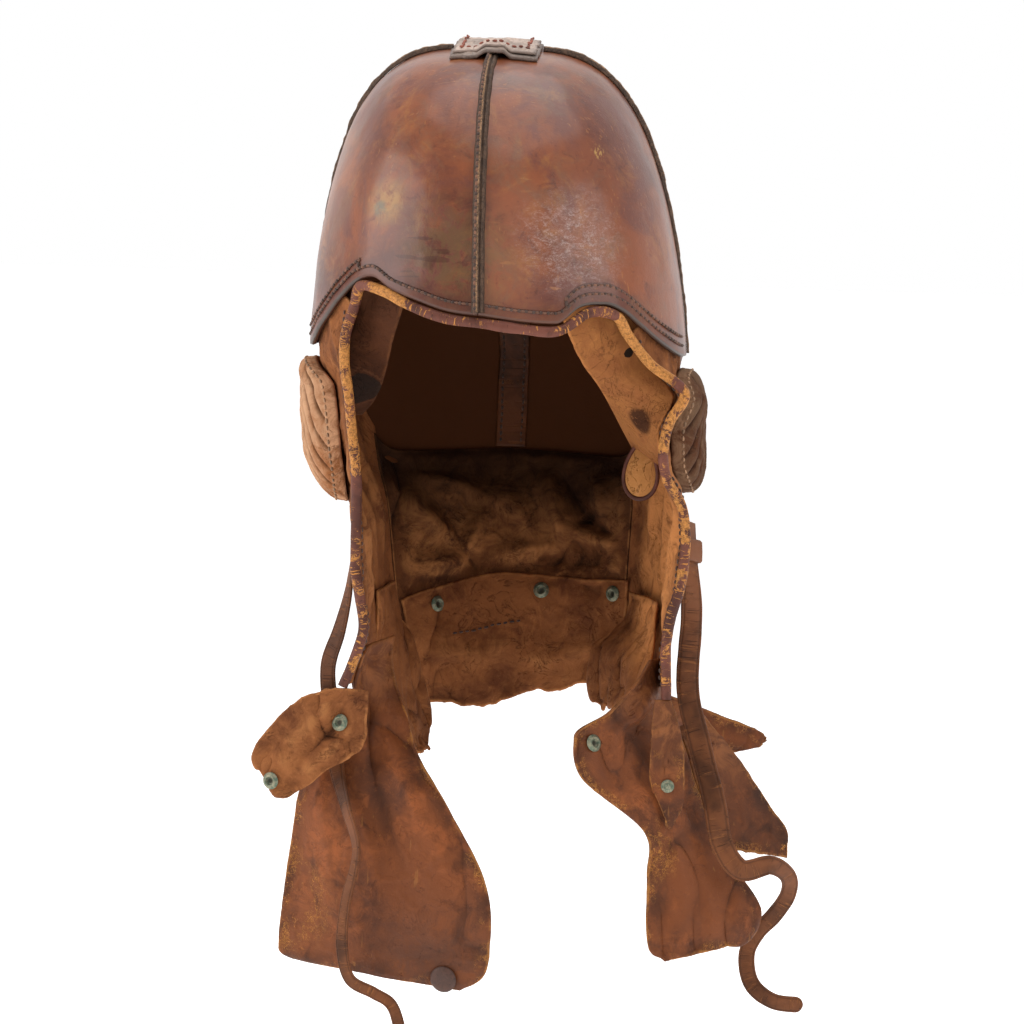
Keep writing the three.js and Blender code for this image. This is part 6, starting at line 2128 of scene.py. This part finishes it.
def near_temples(points):
    """1 where the shell has its second row of stitches."""
    turn = turn_of(points[..., 0], points[..., 1])
    right = smooth(turn, -78, -76) * (1 - smooth(turn, -37.5, -36.5))
    return right + smooth(turn, 20.5, 21.5) * (1 - smooth(turn, 74, 76))


# How near each flap's seam runs to its edge, as a share of its width
FLAP_SEAMS = {
    "throat_flap_right": 0.035,
    "throat_flap_left": 0.05,
    "chin_tab_right": 0.07,
    "chin_tab_left": 0.14,
}


def above_edge(start, end, low, high, steps):
    """A line on the shell from one turn and height above its edge to another."""
    turn = np.linspace(start, end, steps)
    height = edge_height(turn) + np.linspace(low, high, steps)
    return on_dome(turn, height, 0 * turn + SEAM_LIFT), dome_out(turn, height)


def shell_rows():
    """One row along the whole edge, a second one at both temples, and the bars that join them."""
    first, second = SEAM_RISES
    rows = [above_edge(-37, 22, first, first, 200)]
    for rise in SEAM_RISES:
        rows.append(above_edge(-77, -37, rise, rise, 160))
        rows.append(above_edge(21, 74, rise, rise, 220))
    for turn in (-37, 21):
        rows.append(above_edge(turn, turn, first, second, 12))
    return rows


def welt_row():
    height = welt_heights("seam_welt_front", 220)
    foot, up, side = welt_frame(FRONT_SEAM_TURN, height)
    return [(foot + side * FRONT_WELT_WIDTH * -0.28 + up * WELT_HEIGHT * 1.02, up)]


def patch_rows():
    """Three sides of a square in the upper layer of the patch."""
    upper = patch_layer("crown_patch_upper")
    rows = []
    for start, end in (((0.1, 0.97), (0.1, 0.1)), ((0.1, 0.1), (0.9, 0.1)), ((0.9, 0.1), (0.9, 0.97))):
        share = np.linspace(0, 1, 120)
        points, out = upper.at(mix(start[0], end[0], share), mix(start[1], end[1], share))
        rows.append((points + out * PATCH_SEAM_LIFT, out))
    return rows


def pad_rows(name):
    """The seam round the rim of a pad."""
    base, out, _, _ = pad_ring(side_of(name), np.linspace(0, 2 * math.pi, 320), PAD_SEAM_REACH)
    lift = PAD_GAP + PAD_RIM + (PAD_THICKNESS - PAD_RIM) * pad_swell(PAD_SEAM_REACH)
    return [(base + out * (lift + PAD_SEAM_LIFT), out)]


def soft_rows():
    """Rows on the soft leather: beside the binding, round the linings, along the cape and the tape."""
    rows = []
    for word, near in (("right", 0.06), ("left", 0.94)):
        rows.append(along_sheet(f"cheek_panel_{word}", ((near, 0.03), (near, 0.97))))
        rows.append(along_sheet(f"cheek_panel_{word}", ((near, 0.03), (near, 0.97)), inside=True))
        rows.append(along_sheet(f"ear_lining_{word}", ((0.1, 0.06), (0.1, 0.94)), inside=True))
        rows.append(along_sheet(f"ear_lining_{word}", ((0.9, 0.06), (0.9, 0.94)), inside=True))
    rows.append(along_sheet("cape_back", ((0.2, 0.4), (0.52, 0.4)), inside=True))
    for u in (0.14, 0.86):
        rows.append(along_sheet("back_seam_tape", ((u, 0.02), (u, 0.98)), inside=True))
    return rows


def flap_rows():
    """Fine seams a little inside the edges of the flaps and the chin tabs."""
    rows = []
    for name, near in FLAP_SEAMS.items():
        far = 1 - near
        deep = 1 - near * 0.7
        rows.append(along_sheet(name, ((near, 0.3), (near, deep), (far, deep), (far, 0.3)), 0.15, steps=700))
    return rows


# Settings


def length(text, size):
    return FloatProperty(
        name=text.capitalize(), description=f"Sets the {text}", default=size, min=0, unit="LENGTH"
    )


def dye(text, colour):
    return FloatVectorProperty(
        name=text.capitalize(), description=f"Colour of the {text}", default=colour, size=3, min=0, max=1,
        subtype="COLOR"
    )


def light(place, power):
    text = f"{place} light"
    return FloatProperty(
        name=text.capitalize(), description=f"Power of the {text}", default=power, min=0, unit="POWER"
    )


class HelmetSizes(PropertyGroup):
    """Sizes of the finer work on the leather."""

    stitch_pitch: length("pitch of the stitches", 0.0034)
    stitch_length: length("length of a stitch", 0.0027)
    thread_width: length("width of the thread", 0.0014)
    stitch_unevenness: FloatProperty(
        name="Unevenness of stitches", description="How much shorter some stitches are", default=0.25,
        min=0, max=0.9
    )
    hole_size: length("width of a stitch hole", 0.0018)
    fine_pitch: length("pitch of the fine seams", 0.0026)
    fine_width: length("width of the fine thread", 0.0006)
    shell_dents: length("height of the shell's dents", 0.0005)
    wrinkle_depth: FloatProperty(
        name="Wrinkles", description="Height of the wrinkles as a share of the usual", default=1.0, min=0,
        max=3
    )
    quilt_pitch: length("distance between the pads' grooves", 0.0085)
    quilt_depth: length("depth of the pads' grooves", 0.0036)
    seed: IntProperty(name="Seed", description="Seed of the stitches' unevenness", default=7, min=0)


class HelmetColours(PropertyGroup):
    """Dyes, threads and metal."""

    shell: dye("shell leather", (0.2, 0.056, 0.02))
    shell_dark: dye("dark shell leather", (0.085, 0.024, 0.014))
    shell_purple: dye("purplish shell leather", (0.12, 0.038, 0.026))
    shell_golden: dye("rubbed golden shell leather", (0.27, 0.105, 0.028))
    welt: dye("welts", (0.075, 0.04, 0.023))
    worn: dye("worn tan leather", (0.42, 0.23, 0.115))
    patch: dye("crown patch", (0.42, 0.31, 0.25))
    suede: dye("suede", (0.23, 0.08, 0.026))
    suede_dark: dye("dark suede", (0.1, 0.031, 0.011))
    suede_light: dye("rubbed suede", (0.38, 0.155, 0.052))
    lining: dye("tan lining", (0.3, 0.115, 0.034))
    pad: dye("ear pads", (0.43, 0.235, 0.13))
    flap: dye("flap leather", (0.16, 0.045, 0.0125))
    flap_dark: dye("dark flap leather", (0.066, 0.021, 0.009))
    crack: dye("golden cracks", (0.52, 0.215, 0.05))
    binding: dye("binding", (0.095, 0.03, 0.019))
    tape: dye("seam tape", (0.085, 0.026, 0.008))
    felt: dye("tan felt", (0.42, 0.18, 0.055))
    strap: dye("straps", (0.105, 0.034, 0.011))
    strap_worn: dye("worn straps", (0.26, 0.095, 0.032))
    brass: dye("brass", (0.27, 0.25, 0.17))
    verdigris: dye("verdigris", (0.07, 0.12, 0.085))
    cap: dye("snap cap", (0.05, 0.02, 0.012))
    thread_dark: dye("dark thread", (0.06, 0.03, 0.02))
    thread_red: dye("red-brown thread", (0.22, 0.06, 0.035))
    thread_brown: dye("brown thread", (0.13, 0.055, 0.03))
    thread_tan: dye("tan thread", (0.3, 0.17, 0.09))


class HelmetStage(PropertyGroup):
    """Light and camera."""

    right_light: light("right", 10.5)
    left_light: light("left", 6.5)
    top_light: light("top", 11)
    front_light: light("front", 4)
    sky: FloatProperty(
        name="Surroundings", description="Strength of the white surroundings", default=0.2, min=0
    )
    sky_behind: FloatProperty(
        name="Surroundings behind", description="Their strength behind it", default=0.95, min=0
    )
    distance: length("camera distance", 1.5)
    turn: FloatProperty(
        name="Camera turn", description="Angle round the helmet", default=math.radians(3.5), subtype="ANGLE"
    )
    rise: FloatProperty(
        name="Camera rise", description="Angle above level", default=math.radians(5), subtype="ANGLE"
    )
    roll: FloatProperty(
        name="Camera roll", description="Angle about its own view", default=math.radians(1.8),
        subtype="ANGLE"
    )


# Steps: each operator makes one piece or a group of like pieces


class HELMET_OT_shell(Operator):
    """Four quarters of the hard shell."""

    bl_idname = "helmet.shell"
    bl_label = "Shell"

    def execute(self, context):
        for name in QUARTERS:
            leather = shell_quarter(name)
            piece = leather.piece(name, finish("shell"), (0.05, 0.05, 0.5, 0), {"temple": near_temples})
            dress(piece, name)
        return {"FINISHED"}


class HELMET_OT_welts(Operator):
    """Raised welts over the seams."""

    bl_idname = "helmet.welts"
    bl_label = "Seam welts"

    def execute(self, context):
        for name in WELTS:
            dress(seam_welt(name), name)
        return {"FINISHED"}


class HELMET_OT_patch(Operator):
    """Two layers of the patch on the crown."""

    bl_idname = "helmet.patch"
    bl_label = "Crown patch"

    def execute(self, context):
        for name, key, slot in (
            ("crown_patch_lower", "under_patch", "welt_leather"),
            ("crown_patch_upper", "patch", "patch_leather"),
        ):
            dress(patch_layer(name).piece(name, finish(key), (0.3, 0.3, 0.3, 0.3)), name)
        return {"FINISHED"}


class HELMET_OT_tape(Operator):
    """Tape over the back seam inside the shell."""

    bl_idname = "helmet.tape"
    bl_label = "Seam tape"

    def execute(self, context):
        dress(
            sheet("back_seam_tape").piece("back_seam_tape", finish("tape")), "back_seam_tape",
        )
        return {"FINISHED"}


class HELMET_OT_binding(Operator):
    """Rolled binding round the face opening."""

    bl_idname = "helmet.binding"
    bl_label = "Face binding"

    def execute(self, context):
        dress(face_binding(), "face_binding")
        return {"FINISHED"}


class HELMET_OT_cheeks(Operator):
    """Cheek panels with their temple and ear linings."""

    bl_idname = "helmet.cheeks"
    bl_label = "Cheeks and linings"

    def execute(self, context):
        for word in SIDES:
            cheek = f"cheek_panel_{word}"
            held_sheet(cheek, "suede", "stretched", ("face_binding",))
            tone = "dark_lining" if word == "right" else "lining"
            held_sheet(f"temple_lining_{word}", tone, "hung", (cheek,))
            held_sheet(f"ear_lining_{word}", "smooth", "stretched", (cheek,))
        for piece in felt_teardrop():
            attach(piece, "root")
        return {"FINISHED"}


class HELMET_OT_pads(Operator):
    """Quilted pads over the ears."""

    bl_idname = "helmet.pads"
    bl_label = "Ear pads"

    def execute(self, context):
        for word in SIDES:
            name = f"ear_pad_{word}"
            dress(ear_pad(name), name)
        return {"FINISHED"}


class HELMET_OT_nape(Operator):
    """Nape curtain and the three parts of the cape under it."""

    bl_idname = "helmet.nape"
    bl_label = "Nape curtain and cape"

    def execute(self, context):
        held_sheet("nape_curtain", "nape", "hung", ("cheek_panel_right", "cheek_panel_left"))
        held_sheet("cape_back", "suede", "hung", ("nape_curtain",))
        held_sheet("cape_side_right", "suede", "hung", ("cheek_panel_right",))
        held_sheet("cape_side_left", "suede", "hung", ("cheek_panel_left",))
        held_sheet("cape_side_tab", "flap", "hung", ("cape_side_left",))
        return {"FINISHED"}


class HELMET_OT_flaps(Operator):
    """Throat flaps, with the folded fin of the left one."""

    bl_idname = "helmet.flaps"
    bl_label = "Throat flaps"

    def execute(self, context):
        held_sheet("throat_flap_right", "flap", "hung", ("cheek_panel_right",))
        held_sheet("throat_flap_left", "flap", "hung", ("cheek_panel_left",))
        held_sheet("throat_flap_left_fold", "fin", "hung", ("throat_flap_left",))
        return {"FINISHED"}


class HELMET_OT_tabs(Operator):
    """Chin tabs."""

    bl_idname = "helmet.tabs"
    bl_label = "Chin tabs"

    def execute(self, context):
        held_sheet("chin_tab_right", "suede", "hung", ("cheek_panel_right",))
        held_sheet("chin_tab_left", "flap", "hung", ("cheek_panel_left",))
        return {"FINISHED"}


class HELMET_OT_straps(Operator):
    """Straps and the loop that holds the left one."""

    bl_idname = "helmet.straps"
    bl_label = "Straps"

    def execute(self, context):
        dress(strap("strap_right", RIGHT_STRAP, RIGHT_STRAP_WIDTH), "strap_right")
        dress(strap("strap_left", LEFT_STRAP, LEFT_STRAP_WIDTH), "strap_left")
        dress(strap_keeper(), "strap_keeper_left")
        return {"FINISHED"}


class HELMET_OT_studs(Operator):
    """Press studs, their sockets and the large cap."""

    bl_idname = "helmet.studs"
    bl_label = "Studs"

    def execute(self, context):
        for name in STUDS:
            dress(stud(name), name)
        return {"FINISHED"}


class HELMET_OT_stitches(Operator):
    """Every row of stitches."""

    bl_idname = "helmet.stitches"
    bl_label = "Stitches"

    def execute(self, context):
        sizes = context.scene.helmet_sizes
        seed, hole = sizes.seed, sizes.hole_size
        rows = shell_rows() + welt_row()
        stitches("shell_stitches", rows, finish("brown_thread"), seed)
        # Dark dots of thread between the stitches stand for the stitch holes: painted shade in the holes
        holes = [half_a_step_on(line, out, sizes.stitch_pitch) for line, out in rows]
        stitches("shell_holes", holes, finish("dark_thread"), seed + 9, length=hole, width=hole)
        stitches("patch_stitches", patch_rows(), finish("red_thread"), seed + 1)
        pads = pad_rows("ear_pad_right") + pad_rows("ear_pad_left")
        stitches("pad_stitches", pads, finish("tan_thread"), seed + 2)
        stitches("soft_stitches", soft_rows(), finish("dark_thread"), seed + 3)
        small = {"pitch": sizes.fine_pitch, "length": sizes.fine_pitch * 0.7, "width": sizes.fine_width}
        stitches("flap_stitches", flap_rows(), finish("tan_thread"), seed + 4, **small)
        return {"FINISHED"}


class HELMET_OT_declare(Operator):
    """Stops with an error when no soft sheet has been made."""

    bl_idname = "helmet.declare"
    bl_label = "Soft sheets"

    def execute(self, context):
        if not soft:
            raise RuntimeError("there are no sheets to declare")
        return {"FINISHED"}


class HELMET_OT_stage(Operator):
    """Pale floor, soft lights and the camera."""

    bl_idname = "helmet.stage"
    bl_label = "Stage"

    def execute(self, context):
        scene, sizes = context.scene, context.scene.helmet_stage
        floor()
        for name, size, power, place, aim in (
            ("light_right", 0.9, sizes.right_light, (-1.05, -0.45, 0.3), (0, 0, -0.1)),
            ("light_left", 0.9, sizes.left_light, (1.1, -0.6, 0.35), (0, 0, -0.1)),
            ("light_top", 1.2, sizes.top_light, (0.1, -0.1, 1.1), (0, 0, 0)),
            ("light_front", 1.0, sizes.front_light, (0.25, -1.7, 0.75), (0, 0, -0.1)),
        ):
            light = bpy.data.lights.new(name, "AREA")
            light.size, light.energy = size, power
            lamp = bpy.data.objects.new(name, light)
            scene.collection.objects.link(lamp)
            lamp.location = place
            lamp.rotation_euler = (Vector(aim) - Vector(place)).to_track_quat("-Z", "Y").to_euler()
        world = bpy.data.worlds.new("studio")
        world.use_nodes = True
        world.node_tree.nodes.clear()
        t = Tree(world.node_tree)
        seen = t.node("ShaderNodeBackground", inputs={"Color": (1, 1, 1), "Strength": 1.0})
        way = t.node("ShaderNodeTexCoord")
        parts = t.node("ShaderNodeSeparateXYZ", inputs={0: way.outputs["Generated"]})
        behind = t.node(
            "ShaderNodeMapRange",
            {"interpolation_type": "SMOOTHSTEP"},
            {0: parts.outputs[1], 1: -0.2, 2: 0.6, 3: sizes.sky, 4: sizes.sky_behind},
        )
        lit = t.node("ShaderNodeBackground", inputs={"Color": (1, 1, 1), "Strength": behind.outputs[0]})
        ray = t.node("ShaderNodeLightPath")
        mixed = t.node(
            "ShaderNodeMixShader",
            inputs={0: ray.outputs["Is Camera Ray"], 1: lit.outputs[0], 2: seen.outputs[0]}
        )
        t.node("ShaderNodeOutputWorld", inputs={0: mixed.outputs[0]})
        scene.world = world
        scene.view_settings.view_transform = "Standard"
        scene.camera = studio_camera(sizes)
        return {"FINISHED"}


FLOOR = -0.402
FLOOR_REACH = 40
LOOK_AT = (0.0085, 0.0, -0.105)
LENS = 105.47
SENSOR = 36


def floor():
    """A wide pale floor."""
    mesh = bpy.data.meshes.new("floor")
    mesh.from_pydata(
        [(x * FLOOR_REACH, y * FLOOR_REACH, FLOOR) for x, y in ((-1, -1), (1, -1), (1, 1), (-1, 1))], [],
        [(0, 1, 2, 3)]
    )
    mesh.materials.append(finish("paper"))
    paper = bpy.data.objects.new("floor", mesh)
    bpy.context.scene.collection.objects.link(paper)


def studio_camera(sizes):
    a, e = sizes.turn, sizes.rise
    back = Vector((math.sin(a) * math.cos(e), -math.cos(a) * math.cos(e), math.sin(e)))
    right = Vector((math.cos(a), math.sin(a), 0))
    up = back.cross(right)
    across = right * math.cos(sizes.roll) + up * math.sin(sizes.roll)
    upward = up * math.cos(sizes.roll) - right * math.sin(sizes.roll)
    data = bpy.data.cameras.new("studio_camera")
    data.lens, data.sensor_width = LENS, SENSOR
    camera = bpy.data.objects.new("studio_camera", data)
    bpy.context.scene.collection.objects.link(camera)
    turn = Matrix((across, upward, back)).transposed().to_4x4()
    camera.matrix_world = Matrix.Translation(Vector(LOOK_AT) + back * sizes.distance) @ turn
    return camera


STEPS = (
    HELMET_OT_shell,
    HELMET_OT_welts,
    HELMET_OT_patch,
    HELMET_OT_tape,
    HELMET_OT_binding,
    HELMET_OT_cheeks,
    HELMET_OT_pads,
    HELMET_OT_nape,
    HELMET_OT_flaps,
    HELMET_OT_tabs,
    HELMET_OT_straps,
    HELMET_OT_studs,
    HELMET_OT_stitches,
    HELMET_OT_declare,
    HELMET_OT_stage,
)


class HELMET_PT_panel(Panel):
    """Sizes, colours and steps."""

    bl_label = "Flying helmet"
    bl_idname = "HELMET_PT_panel"
    bl_space_type = "VIEW_3D"
    bl_region_type = "UI"
    bl_category = "Helmet"

    def draw(self, context):
        for key in GROUPS:
            settings = getattr(context.scene, key)
            for prop in settings.bl_rna.properties:
                if prop.identifier in settings.__annotations__:
                    self.layout.prop(settings, prop.identifier)
        for step in STEPS:
            self.layout.operator(step.bl_idname)


GROUPS = {"helmet_sizes": HelmetSizes, "helmet_colours": HelmetColours, "helmet_stage": HelmetStage}
CLASSES = (*GROUPS.values(), *STEPS, HELMET_PT_panel)


def register():
    for kind in CLASSES:
        bpy.utils.register_class(kind)
    for key, kind in GROUPS.items():
        setattr(bpy.types.Scene, key, PointerProperty(type=kind))


def unregister():
    for key in GROUPS:
        delattr(bpy.types.Scene, key)
    for kind in reversed(CLASSES):
        bpy.utils.unregister_class(kind)


def main():
    register()
    for step in STEPS:
        group, name = step.bl_idname.split(".")
        if getattr(getattr(bpy.ops, group), name)() != {"FINISHED"}:
            raise RuntimeError(f"{step.bl_idname} didn't finish")


if __name__ == "__main__":
    main()
